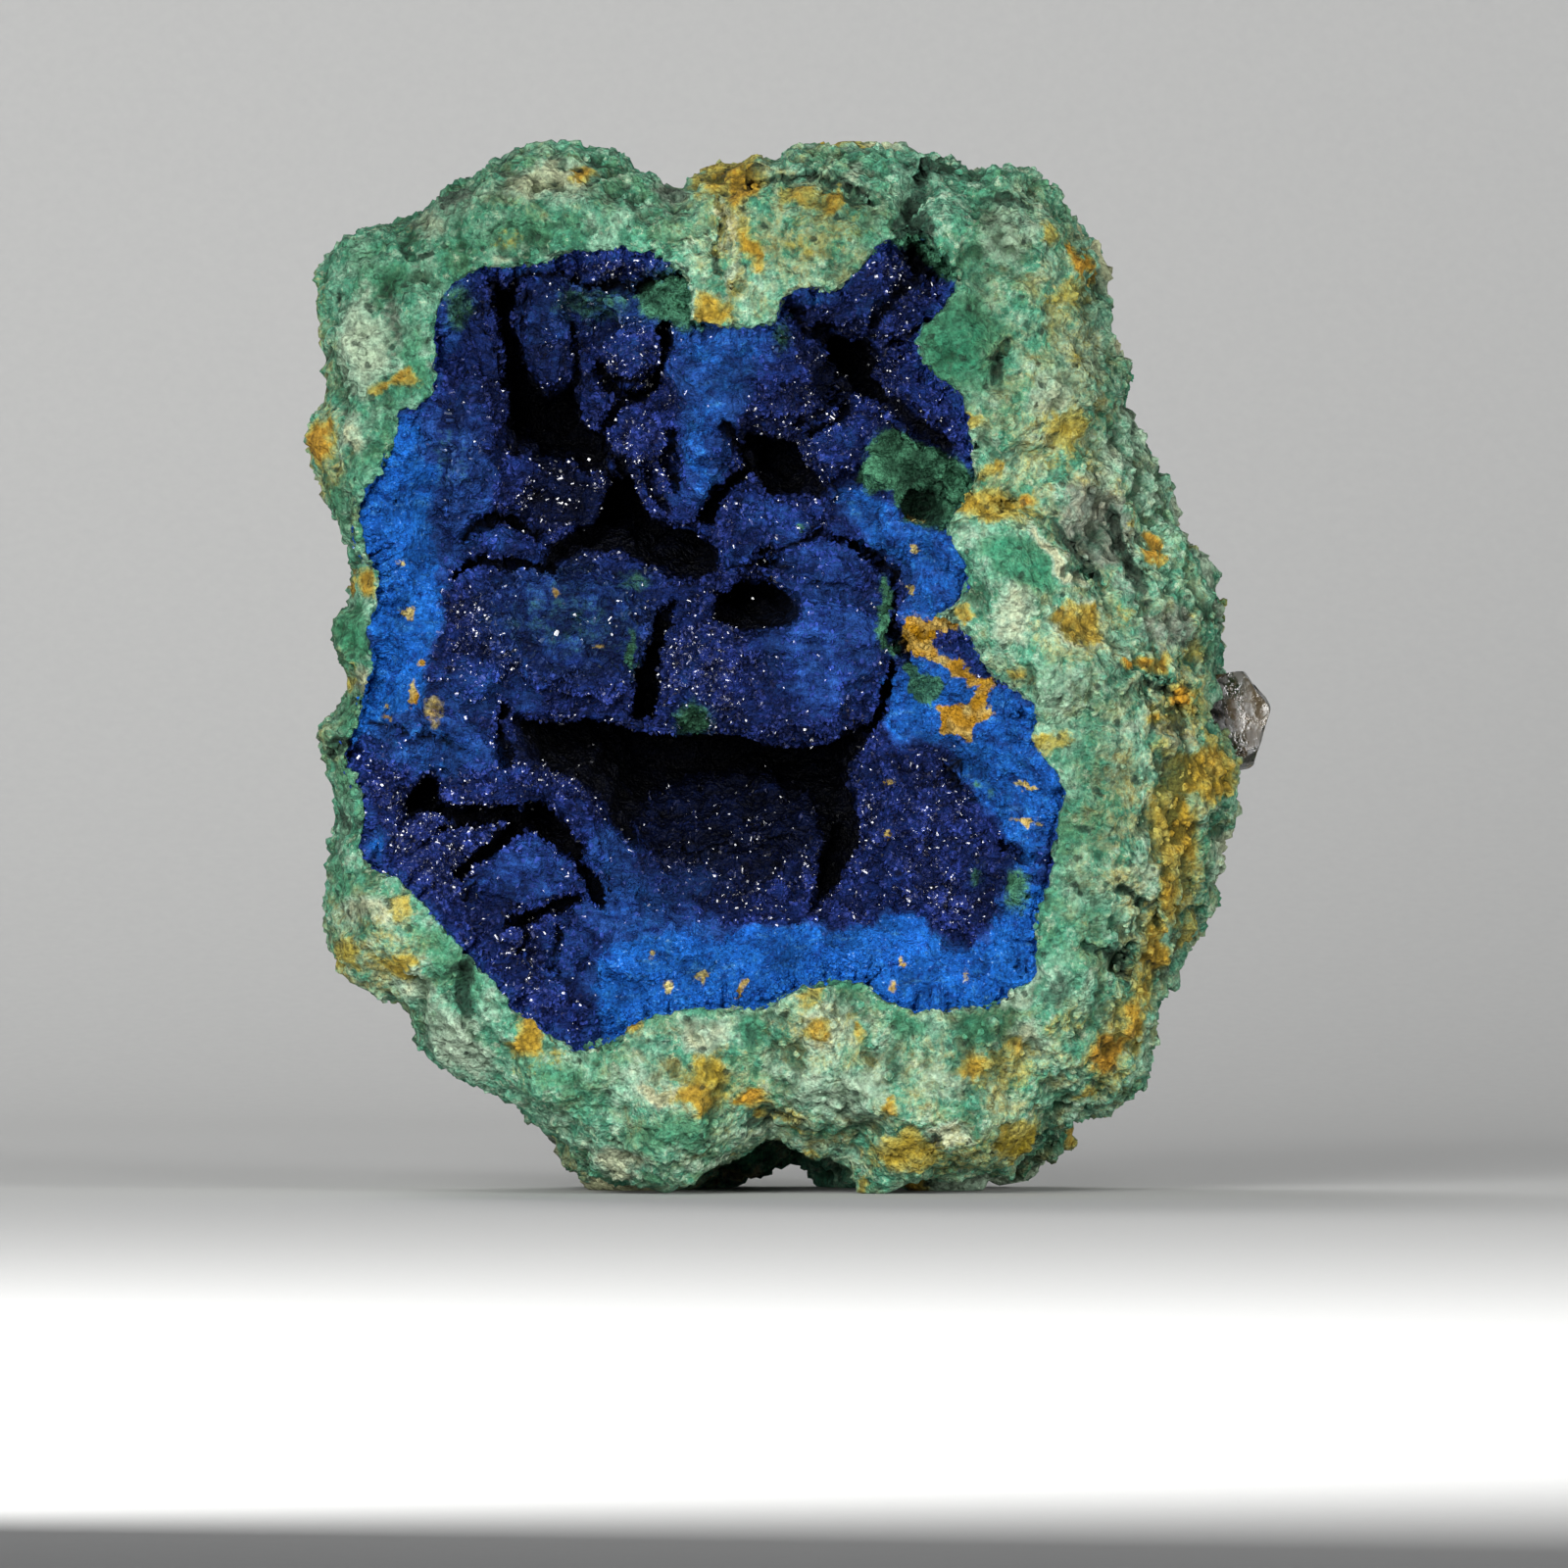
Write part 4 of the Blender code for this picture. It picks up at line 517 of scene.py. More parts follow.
# The same, with a tone from grass green (0) to bluish malachite (1)
VIVID = [
    (-39.2, 51, 1.8, 3, 0, 0.8, 0.3), (16, 78, 4, 4.8, 20, 0.85, 0.8), (21.6, 57.8, 3.8, 2.2, -22, 1, 0.7),
    (17.4, 15.2, 1.7, 2, 0, 0.85, 0.8), (11.2, 15.6, 1.8, 1.4, 0, 0.7, 0.8), (-24, 88, 8, 1.8, 6, 0.6, 0.7),
    (-37, 83.4, 3.8, 2.4, 20, 0.6, 0.4), (-19.4, 10.6, 6, 2.6, -30, 0.5, 0.7),
    (-9.6, 5.6, 4.6, 1.9, 6, 0.7, 0.9), (-6.4, 89.4, 1.2, 1.2, 0, 0.3, 0.5),
    (5.4, 19.4, 3, 0.8, 0, 0.7, 0.9), (-3, 15, 1.4, 2.2, 0, 0.9, 0.9), (-13.6, 17, 3.6, 1, 10, 0.5, 0.8),
    (-30.8, 21.6, 1.6, 5.6, 44, 0.6, 0.5), (-40.6, 28.6, 1.6, 2.4, 0, 0.6, 0.5),
    (-40.4, 37.8, 1.4, 3, 0, 0.6, 0.6), (-38.6, 67, 2.4, 3, 0, 0.5, 0.3), (-36, 71, 2.6, 2.4, 0, 0.5, 0.2),
    (25, 33.4, 1.6, 2.6, 0, 0.5, 0.9), (23.6, 46.8, 2.6, 2.4, 0, 0.6, 0.9),
    (24, 80, 2.4, 2.6, 0, 0.35, 0.5), (40, 55, 1.4, 2.6, 0, 0.7, 0.8), (18.4, 86.2, 3, 2.4, 0, 0.5, 0.8),
    (13.6, 70.6, 2, 4, 20, 0.6, 0.7), (31, 9, 1.6, 2.6, 30, 0.5, 0.6), (28.6, 24.6, 2.6, 3.6, 0, 0.45, 0.8),
    (-39.8, 44.6, 1.4, 3, 0, 0.6, 0.4), (-40.8, 63.6, 1.4, 4, 0, 0.6, 0.3), (-38.6, 86, 3, 2, 0, 0.5, 0.3),
    (7.6, 88.4, 2, 2.4, 0, 0.5, 0.4), (8, 94.6, 4.6, 1.8, 0, 0.4, 0.4), (24.6, 9.2, 2.4, 1.6, 20, 0.5, 0.7),
    (-33.6, 76.8, 1.5, 3.6, 0, 0.7, 0.6),
]
# Painted shade in pits, cracks and under ledges, with a tone from dark green (0) to black-brown (1)
DARK = [
    (-34.3, 85.8, 1.9, 0.7, 15, 0.35, 0.1), (-33.4, 76.6, 0.8, 1.6, 0, 0.45, 0),
    (-41, 41.5, 1, 1, 0, 0.8, 0.3), (-40.3, 33.9, 1.8, 0.8, 0, 0.8, 0.2),
    (-29.4, 19.2, 0.8, 2.1, 14, 0.8, 0.1), (-3, 14.6, 0.9, 1.7, 0, 0.6, 0),
    (12, 88, 1.6, 2.8, -14, 0.85, 0.1), (13.4, 93.8, 3.2, 1.1, 0, 0.5, 0.2),
    (20.2, 91, 1.6, 0.6, 0, 0.7, 0.7), (23.2, 27, 0.8, 2.2, 0, 0.6, 0),
    (-10.4, 91.6, 1.2, 1.4, 0, 0.5, 0.4), (-30.4, 91.4, 2, 1.1, 20, 0.6, 0.5),
    (39.2, 53.6, 1, 1.5, 0, 0.5, 0), (33.5, 26.5, 0.8, 0.8, 0, 0.8, 0.4),
    (30.8, 21.8, 0.9, 1.4, 0, 0.7, 0.3), (25, 18.6, 1.1, 1.5, 0, 0.6, 0.2),
    (-37.5, 50.4, 0.7, 0.8, 0, 0.8, 0.8), (13.5, 4.8, 0.6, 0.9, 0, 0.95, 0.9),
    (21, 4, 1.2, 1.2, 0, 0.6, 0.5), (28.6, 60.2, 2.2, 1.6, 20, 0.6, 0.4),
    (32.4, 56.6, 1.2, 1.8, 0, 0.4, 0.3), (-2.6, 6.9, 1.8, 0.8, -38, 0.6, 0.4),
    (19.6, 75.8, 0.3, 1.9, -20, 0.8, 0.7), (-9.6, 89.6, 0.8, 2.6, 0, 0.4, 0.4),
    (-6.1, 87.2, 0.3, 2.8, -6, 0.6, 0.6), (31, 48, 1.1, 0.7, 0, 0.7, 0.9), (25, 66, 1.2, 1.6, 0, 0.4, 0.5),
    (14.6, 61.6, 2, 0.9, 0, 0.5, 0.2), (5.4, 92.6, 3.8, 0.5, -6, 0.6, 0.6),
    (-17.2, 94.4, 0.9, 0.5, 0, 0.6, 0.8), (-20.4, 94.2, 0.6, 0.9, 0, 0.6, 0.8),
    (-20.6, 13.4, 0.5, 1.7, 0, 0.5, 0.2), (9, 11, 0.7, 1.6, 60, 0.3, 0.2),
    (34.6, 19.6, 1.4, 2, 0, 0.3, 0.5), (36, 47.4, 1, 0.5, 0, 0.6, 0.9), (26, 40.6, 0.5, 0.4, 0, 0.75, 0.2),
    (27.6, 39, 0.4, 0.6, 0, 0.7, 0.1), (25.6, 36, 0.6, 0.4, 0, 0.75, 0.2),
    (28.6, 36.6, 0.6, 0.5, 0, 0.75, 0.3), (27, 33.6, 0.5, 0.6, 0, 0.7, 0.1),
    (29.8, 33, 0.6, 0.4, 0, 0.7, 0.4), (32, 38.2, 0.4, 0.7, 0, 0.7, 0.6),
    (25.8, 31.4, 0.4, 0.5, 0, 0.7, 0.1), (31.6, 30.8, 0.7, 0.4, 0, 0.7, 0.5),
    (29, 28.8, 0.5, 0.5, 0, 0.7, 0.2), (32.6, 44.6, 0.6, 0.4, 0, 0.7, 0.6),
    (28, 44.2, 0.5, 0.4, 0, 0.7, 0.3), (24.4, 47.8, 0.6, 0.4, 0, 0.6, 0.1),
    (30.2, 41.4, 0.5, 0.5, 0, 0.7, 0.5), (26.8, 28, 0.4, 0.7, 0, 0.7, 0.1),
    (-41.4, 83, 0.5, 0.5, 0, 0.7, 0.2), (-39.8, 80.6, 0.4, 0.6, 0, 0.7, 0.3),
    (-40.4, 74.4, 0.5, 0.4, 0, 0.6, 0.3), (-37.4, 74, 0.4, 0.5, 0, 0.6, 0.2),
    (22.6, 78.8, 0.6, 0.4, 0, 0.6, 0.2), (24, 66.6, 0.6, 0.5, 0, 0.7, 0.6),
    (26.4, 57.4, 0.5, 0.7, 0, 0.7, 0.8), (30.4, 50.8, 0.6, 0.5, 0, 0.7, 0.7),
    (21.4, 17.4, 0.5, 0.4, 0, 0.6, 0.3), (6.2, 17, 0.4, 0.5, 0, 0.6, 0.2),
    (13.6, 12.6, 0.6, 0.4, 0, 0.6, 0.2), (-11.8, 13.4, 0.5, 0.4, 0, 0.6, 0.2),
]
print("Pale, vivid and dark places:", len(PALE), len(VIVID), len(DARK))

# %% Grey and warm places, and painted shade
# Bare grey rock: x, z, half width, half height, turn, strength
GREY = [
    (28.4, 61.4, 3.4, 4.4, 30, 0.85), (35.2, 52, 3.2, 3, 0, 0.6), (-30.2, 91.2, 2.6, 1.4, 24, 0.7),
    (-10.6, 91.8, 1.6, 2, 0, 0.7), (35.6, 42.6, 2.6, 1.6, 0, 0.6), (-35.8, 79.6, 1, 3.6, 0, 0.6),
    (27, 72.4, 2.6, 4, 0, 0.4), (31.6, 67, 2.4, 5, 20, 0.45), (-33.4, 89.4, 2, 1, 24, 0.5),
    (31.4, 56.4, 2, 3, 0, 0.5), (-2.4, 6, 2.4, 1.4, -30, 0.4), (16.6, 90.4, 2, 1.6, 0, 0.35),
    (-24, 90.6, 5, 0.8, -4, 0.4), (38.4, 30, 1.6, 6, 0, 0.35),
]
# Where cream and gold are scattered through the green
WARM = [
    (27, 66, 7, 17, 14, 0.9), (34, 36, 6, 20, -4, 1), (26, 50, 9, 6, 0, 0.7), (8, 9, 24, 8, 4, 0.75),
    (-1, 88, 8, 9, 0, 0.8), (-38, 22, 6, 8, -30, 0.8), (-42.6, 66, 2.4, 12, 0, 0.9),
    (-41, 46, 2.4, 8, 0, 0.7), (-22, 92, 6, 3, 0, 0.6), (-8, 12, 7, 4, 0, 0.8), (24, 86, 5, 6, 0, 0.6),
    (18, 64, 5, 3, 0, 0.9),
]
# Painted shade: where the rock is darker all over, mostly near its top
PAINTED_SHADE_PLACES = [
    (-30, 88, 12, 7, 16, 1), (17, 79, 5, 8, 10, 0.9), (4, 88, 6, 5, 0, 1), (22, 88, 8, 6, -30, 0.7),
    (27, 76, 4, 7, 14, 0.9), (28.4, 36, 3.6, 12, 0, 0.8), (-37, 76, 4, 9, 0, 0.6), (-41, 50, 4, 16, 0, 0.6),
    (-10, 91, 4, 4, 0, 0.5),
]
print("Grey, warm and dull places:", len(GREY), len(WARM), len(PAINTED_SHADE_PLACES))

# %% The rock's zones
# The rock's left flank, left of this x and behind this y, lies behind the azurite but isn't stained blue
FLANK_X, FLANK_FRONT_Y = -30.0, -12.0
BLUE_BACK_Y = 8.0  # elsewhere the blue reaches back as far as this


def rock_zones(places):
    """The attributes that the rock's material reads, from places in millimetres."""
    ragged = wander(wander(places, 2.6, 1.3), 0.8, 0.55)
    front = smooth((-6.0 - places[:, 1] + 4.0 * field(places, 9.0, 1)) / 9.0)
    ochre, rust = spots(ragged, OCHRE)
    pale, cream = spots(ragged, PALE)
    vivid, blueish = spots(ragged, VIVID)
    dark, brown = spots(ragged, DARK, soft=0.5)
    grey, _ = spots(ragged, GREY)
    broad, middling = field(ragged, 11.0, 2), field(ragged, 5.0, 3)
    blue_back_y = np.where(places[:, 0] < FLANK_X, FLANK_FRONT_Y, BLUE_BACK_Y)
    zones = {"blue": smooth((ragged_rim(places) + 0.3) / 0.6) * (places[:, 1] < blue_back_y)}
    x, z = wandering(places)
    # Painted shade along the rock's cracks, on its front
    for line, half_width, _ in ROCK_CRACKS:
        dark = np.maximum(dark, front * smooth((1.6 * half_width - line_distance(x, z, line)) / half_width))
    warm, _ = spots(wander(ragged, 4.0, 1.5), WARM, soft=0.8)
    dull, _ = spots(wander(ragged, 4.0, 1.5), PAINTED_SHADE_PLACES, soft=0.8)
    # On the front the dark and dull zones are painted shade; round the back they are tones at random
    for name, drawn, everywhere in (
        ("dull", dull, 0.5 + 0.5 * broad),
        ("warm", warm, smooth((field(ragged, 12.0, 12) + 0.35) / 0.8)),
        ("ochre", ochre, 0.9 * smooth((field(ragged, 7.5, 4) + 0.5 * middling - 0.12) / 0.7)),
        ("rust", rust, 0.75 * smooth((broad + 0.5) / 1.0)),
        ("pale", pale, smooth((field(ragged, 8.0, 5) + 0.4 * middling - 0.02) / 0.4)),
        ("cream", cream, smooth((field(ragged, 13.0, 6) + 0.45) / 0.8)),
        ("vivid", vivid, smooth((field(ragged, 9.0, 7) - 0.05) / 0.4)),
        ("blueish", blueish, smooth((field(ragged, 15.0, 8) + 0.3) / 0.7)),
        ("dark", dark, smooth((field(ragged, 5.5, 9) - 0.4) / 0.3)),
        ("brown", brown, smooth((field(ragged, 12.0, 10) + 0.2) / 0.6)),
        ("grey", grey, smooth((field(ragged, 10.0, 11) - 0.22) / 0.3)),
    ):
        zones[name] = front * drawn + (1.0 - front) * everywhere
    return zones


print("Marks on the rock:", sum(len(marks) for marks in (OCHRE, PALE, VIVID, DARK, GREY, WARM, PAINTED_SHADE_PLACES)))

# %% [markdown]
# ## The host rock
# The real rock is a soft, porous mass of grains, cracked and crumbled. Sculpting it by hand would take days
# and would not come out the same twice. Instead, a copy of the CAD solid is turned into an even skin of
# small faces with a voxel remesh, its facets are smoothed, and Displace modifiers push that skin in and out
# with one noise after another, from lumps of a few millimetres down to single grains. Vertex groups keep
# that relief off the socket behind the azurite and off the resting place, and let it grow where the real
# rock is roughest.

# %% The rock's skin
ROCK_VOXEL = 0.44
ROCK_TRIANGLES = 196000  # how many triangles the rock's skin is cut down to; just under what a piece may have

rock = copy_of_node("host_rock", "host_rock_skin")
modify(rock, "REMESH", mode="VOXEL", voxel_size=ROCK_VOXEL * MM, use_smooth_shade=True)
modify(rock, "SMOOTH", factor=0.5, iterations=7)
print("Rock skin before its relief:", len(rock.data.vertices), "points")

# %% Relief of the rock, from lumps to grains
SOCKET_BACK_Y = 12.0  # the socket ends before this
ROUGH_FROM_Y = -16.0
CREST_Z = 90.5  # above this the rock is pebbly too


def relief(obj, name, kind, size, height, level, group, **settings):
    """Displaces a mesh along its normals by a noise with features of that size."""
    texture = bpy.data.textures.new(name, kind)
    texture.noise_scale = size * MM
    for setting, value in settings.items():
        setattr(texture, setting, value)
    modify(obj, "DISPLACE", texture=texture, texture_coords="LOCAL", strength=height * MM, mid_level=level,
           vertex_group=group)
    bpy.data.textures.remove(texture)


def set_group(obj, name, weights):
    """A vertex group with a weight for each point. Points of like weight are set together, which is quick."""
    group = obj.vertex_groups.new(name=name)
    steps = np.round(np.clip(weights, 0.0, 1.0) * 20).astype(int)
    for step in range(1, 21):
        group.add(np.flatnonzero(steps == step).tolist(), step / 20, "REPLACE")


def near_socket(places, facing):
    """Whether places can be in the socket behind the azurite: not at the back, and not on the left flank."""
    on_flank = (places[:, 0] < FLANK_X) & (places[:, 1] > FLANK_FRONT_Y) & (facing[:, 0] < -0.2)
    return (facing[:, 1] < 0.9) & (places[:, 1] < SOCKET_BACK_Y) & ~on_flank


def rough_side(places, from_x, over_x, over_y):
    """Rises from 0 to 1 towards the right and the back, where the rock is roughest."""
    return smooth((places[:, 0] - from_x) / over_x + (places[:, 1] - ROUGH_FROM_Y) / over_y)


places, facing = places_of(rock), normals_of(rock)
rim = rim_distance(places)
in_socket = smooth((rim + 0.2) / 0.6) * near_socket(places, facing)
places[:, 1] += smooth(rim / 0.6) * in_socket * (0.3 + gaping(*wandering(places))[1])
faces_front = facing[:, 1] < -0.2
x, z = wandering(places)
for line, half_width, depth in ROCK_CRACKS:
    inside = smooth((1.3 * half_width - line_distance(x, z, line)) / half_width)
    places[:, 1] += depth * inside * faces_front * (1.0 - in_socket)
set_places(rock, places)
base = places.copy()
above_ground = smooth((places[:, 2] - 0.05) / 0.9)
lumpy = above_ground * (1.0 - in_socket)
pebbly = np.maximum(rough_side(places, 18.0, 9.0, 8.0), smooth((places[:, 2] - CREST_Z) / 2.5))
coarse = lumpy * (0.3 + 0.7 * pebbly)
set_group(rock, "lumpy", lumpy)
set_group(rock, "coarse", coarse)
relief(rock, "lumps", "CLOUDS", 4.5, 1.7, 0.56, "lumpy", noise_depth=2)
relief(rock, "pebbles", "VORONOI", 2.2, -1.5, 0.36, "coarse", distance_metric="DISTANCE")
relief(rock, "crumbs", "VORONOI", 1.15, -0.9, 0.36, "lumpy", distance_metric="DISTANCE")
relief(rock, "grains", "CLOUDS", 0.6, 0.55, 0.5, "lumpy", noise_depth=1)
set_places(rock, places_of(rock))
moved = np.sum((places_of(rock) - base) * normals_of(rock), axis=1)
write_attribute(rock, "height", moved)
print("Relief of the rock: from", round(moved.min(), 2), "to", round(moved.max(), 2), "mm")

# %% Fewer faces where nobody looks
keep = np.where(in_socket > 0.5, 0.0, 0.55 + 0.45 * smooth((2.0 - places[:, 1]) / 6.0))
set_group(rock, "thin", 1.0 - 0.9 * keep)
full_count = 2 * len(rock.data.polygons)
modify(rock, "DECIMATE", ratio=ROCK_TRIANGLES / full_count, vertex_group="thin", vertex_group_factor=0.0004)
rock.vertex_groups.clear()
set_places(rock, places_of(rock))
for name, values in rock_zones(places_of(rock)).items():
    write_attribute(rock, name, values)
print("Rock skin:", len(triangles_of(rock)), "triangles, from", full_count)

# %% [markdown]
# ## Loose grains on the rock
# The rock is crumbly, and many of its grains stand up from it on their own. A particle system could strew
# them, but particles are lost when a model is exported. Here one grain, a rough ball of 20 faces, is copied
# thousands of times with numpy into one joined mesh, each copy turned and squashed in its own way and
# partly sunk into the rock.

# %% Scatter copies of a small shape over a surface
def pick_places(obj, weights, count, random):
    """Random places on a mesh with their normals. Large faces and those with weight are picked more often."""
    corners = triangles_of(obj)
    places, normals = places_of(obj), normals_of(obj)
    a, b, c = (places[corners[:, i]] for i in range(3))
    areas = 0.5 * np.linalg.norm(np.cross(b - a, c - a), axis=1) * weights[corners].mean(axis=1)
    picked = random.choice(len(corners), size=count, p=areas / areas.sum())
    shares = random.dirichlet((1.0, 1.0, 1.0), size=count)

    def read(values):
        """Values of the mesh's points, as they are at the picked places."""
        return np.einsum("nk,nk...->n...", shares, values[corners[picked]])

    facing = read(normals)
    return read(places), facing / np.linalg.norm(facing, axis=1, keepdims=True), areas.sum(), read


def frames_along(directions, random):
    """For each direction, three axes at right angles, the last along it and the others turned at random."""
    helper = random.normal(size=directions.shape)
    side = np.cross(helper, directions)
    side /= np.linalg.norm(side, axis=1, keepdims=True)
    return np.stack([side, np.cross(directions, side), directions], axis=2)


def joined_copies(name, shape, faces, places, axes, sizes, jitter, random):
    """One mesh with a copy of the shape at each place, in those axes and sizes, its corners jittered."""
    count, corners = len(places), len(shape)
    local = shape[None] * sizes[:, None] * (1.0 + jitter * random.uniform(-1, 1, (count, corners, 3)))
    points = places[:, None] + np.einsum("nij,nkj->nki", axes, local)
    all_faces = (faces[None] + corners * np.arange(count)[:, None, None]).reshape(-1, 3)
    mesh = bpy.data.meshes.new(name)
    mesh.vertices.add(count * corners)
    mesh.loops.add(3 * len(all_faces))
    mesh.polygons.add(len(all_faces))
    mesh.loops.foreach_set("vertex_index", all_faces.ravel())
    mesh.polygons.foreach_set("loop_start", 3 * np.arange(len(all_faces)))
    obj = bpy.data.objects.new(name, mesh)
    bpy.context.scene.collection.objects.link(obj)
    set_places(obj, points.reshape(-1, 3))
    mesh.update(calc_edges=True)
    mesh.validate()
    mesh.shade_flat()
    return obj


# %% Grains of rock
GRAIN_COUNT = 9000
GRAIN_RADII = (0.22, 0.5)
GRAIN_SUNK = 0.12  # how far its middle lies under the surface
random = np.random.default_rng(11)

only(rock)
bpy.ops.mesh.primitive_ico_sphere_add(subdivisions=1, radius=1.0)
ball = bpy.context.object
ball_points = np.array([v.co for v in ball.data.vertices])
ball_faces = np.array([p.vertices for p in ball.data.polygons])
bpy.data.objects.remove(ball)

places, facing = places_of(rock), normals_of(rock)
hidden = (rim_distance(places) > -0.3) & near_socket(places, facing)
where = ~hidden * (places[:, 2] > 0.9) * (0.35 + 0.65 * rough_side(places, 14.0, 10.0, 9.0))
at, out, _, _ = pick_places(rock, where, GRAIN_COUNT, random)
lengths = random.uniform(*GRAIN_RADII, (GRAIN_COUNT, 1)) * random.uniform(0.75, 1.3, (GRAIN_COUNT, 3))
tilted = out + 0.4 * random.normal(size=out.shape)
tilted /= np.linalg.norm(tilted, axis=1, keepdims=True)
grains = joined_copies("rock_grains", ball_points, ball_faces, at - GRAIN_SUNK * out,
                       frames_along(tilted, random), lengths, 0.22, random)
for name, values in rock_zones(places_of(grains)).items():
    write_attribute(grains, name, values)
write_attribute(grains, "height", np.full(len(grains.data.vertices), GRAIN_SUNK))
print("Grains:", GRAIN_COUNT, "with", len(triangles_of(grains)), "triangles in all")

# %% [markdown]
# ## The azurite crust
# Azurite lines the hollow in rounded blocks parted by deep clefts. The CAD solid has the blocks and the
# clefts, but its faces are about a millimetre across. A remesh to a finer skin lets the narrow cracks be
# cut again with sharp lips. The CAD solids also keep a gap that the real minerals don't have. So the skin
# grows a little sideways over the rock, rays find how high the rock stands beside it, and along its rim the
# crust comes up level with it. Clefts that are wider in the solid than on the specimen are partly filled.

# %% The crust's skin
CRUST_VOXEL = 0.36
CRUST_TRIANGLES = 192000
CRUST_GROWS = 1.0  # sideways, over the gap between the solids and the edge of the rock
RIM_WIDTH = 2.8  # over this width the crust comes up level with the rock beside it
RIM_READINGS = (0.3, 0.6, 0.9)  # how far outside the rim the rock's height is read
RIM_LEAD = 0.3  # how far it stands in front of the rock there
RIM_DIP = 1.1  # how far its very edge dives back under the rock
RAY_START_Y = -60.0  # well in front of everything
STEP = 0.2  # between the two readings that give a slope, from the place to each of them

crust = copy_of_node("azurite_crust", "azurite_skin")
modify(crust, "REMESH", mode="VOXEL", voxel_size=CRUST_VOXEL * MM, use_smooth_shade=True)
modify(crust, "SMOOTH", factor=0.5, iterations=4)
places = places_of(crust)
slope_x, slope_z = (
    (rim_distance(places + step) - rim_distance(places - step)) / (2 * STEP)
    for step in (np.array([STEP, 0.0, 0.0]), np.array([0.0, 0.0, STEP]))
)
grow = CRUST_GROWS * smooth((2.2 - rim_distance(places)) / 1.6)
places[:, 0] -= grow * slope_x
places[:, 2] -= grow * slope_z
lies_in_front = normals_of(crust)[:, 1] < 0.3
print("Crust skin:", len(places), "points,", lies_in_front.sum(), "of them in front")

# %% Up to the rock at the rim, back at the clefts
rock_tree = BVHTree.FromPolygons(places_of(rock).tolist(), triangles_of(rock).tolist())
rim = rim_distance(places)
for i in np.flatnonzero(lies_in_front & (rim < RIM_WIDTH)):
    heights = []
    for reach in RIM_READINGS:
        outward = max(rim[i] + reach, 0.0)
        beside = (places[i, 0] - outward * slope_x[i], RAY_START_Y, places[i, 2] - outward * slope_z[i])
        hit = rock_tree.ray_cast(beside, (0.0, 1.0, 0.0))[0]
        if hit is not None and hit.y < 0.0:
            heights.append(hit.y)
    if heights:
        level = sum(heights) / len(heights) - RIM_LEAD + RIM_DIP * smooth(-rim[i] / 0.4)
        places[i, 1] += (level - places[i, 1]) * smooth((RIM_WIDTH - rim[i]) / (RIM_WIDTH - 0.3))
x, z = wandering(places)
for outline, level in FILLS:
    filled = smooth((inside_distance(x, z, outline) + 0.3) / 0.6) * lies_in_front
    places[:, 1] += filled * np.minimum(level - places[:, 1], 0.0)
places[:, 1] += gaping(x, z)[1]
set_places(crust, places)
print("Points at the rim:", (lies_in_front & (rim < RIM_WIDTH)).sum())

# %% [markdown]
# ## Where the azurite changes
# Along the rim and in bands across the blocks the azurite is a bright powder, and elsewhere it is druse.
# Malachite has grown over it in a few places, and ochre crumbs of rock are caught in it. As on the rock,
# these are listed marks, and their edges are frayed with noise. Wide bands are outlines, and small places
# are ellipses.

# %% Powder
# Bands with an outline: points, how bright, how wide the edge fades
POWDER_AREAS = [
    ([(-34.8, 71.9), (-33, 71.2), (-31.8, 68.5), (-32, 65.5), (-31.4, 61), (-31, 57), (-36, 56),
      (-39.2, 57), (-40.6, 62), (-39.5, 66), (-37, 71)], 1, 2),
    ([(-31.4, 58), (-31, 56), (-31.8, 54), (-32, 50), (-32.5, 48), (-33, 45), (-36.5, 42.5), (-41, 41.5),
      (-40, 44), (-39.5, 47), (-38.6, 50), (-39.8, 52), (-38.5, 55), (-39.8, 59.5)], 1, 1),
    ([(-17.6, 13), (-17.6, 19), (-16.6, 22.6), (-13, 24.6), (-9, 25), (-4, 23.8), (-2, 20), (-3, 15.6),
      (-8, 15), (-14, 13)], 1, 1.6),
    ([(-5, 24.2), (0, 24.6), (4, 24.2), (8, 24.5), (10, 25.7), (13, 25.5), (14, 24), (15, 22.6), (18, 23.3),
      (19.8, 25), (20.5, 27.4), (22, 28.6), (26, 28), (26, 18), (18.6, 15.4), (13, 14.2), (9, 15.6),
      (7, 17.8), (4.6, 18.2), (1.2, 17.4), (-2.2, 15.6), (-5, 16)], 1, 0.8),
    ([(8.8, 43), (9.6, 47), (11, 50), (14, 49.4), (18.5, 46.6), (21, 47.5), (25, 45), (24.5, 41),
      (26.5, 38.5), (27.2, 36.5), (26.2, 33), (23, 31.6), (19.2, 32.8), (18.5, 35.5), (16.7, 37.5),
      (15.2, 39.7), (13, 41.2), (10, 42)], 0.78, 0.9),
    ([(4.8, 64.6), (7.6, 65), (10.6, 63), (13, 61.6), (17.5, 60), (17.5, 54.5), (14.4, 52), (11, 52),
      (10.6, 56), (8.4, 58.6), (5.6, 60.8), (4, 62.6)], 0.72, 1.1),
    ([(-10.2, 79.9), (-1, 79.6), (-1.2, 76.4), (-2.4, 73.6), (-4.4, 70.8), (-5.2, 68.2), (-6.8, 64.4),
      (-10.2, 63.4), (-9.9, 67), (-10.2, 70.4), (-9.8, 74), (-10.3, 77)], 0.64, 1.7),
]
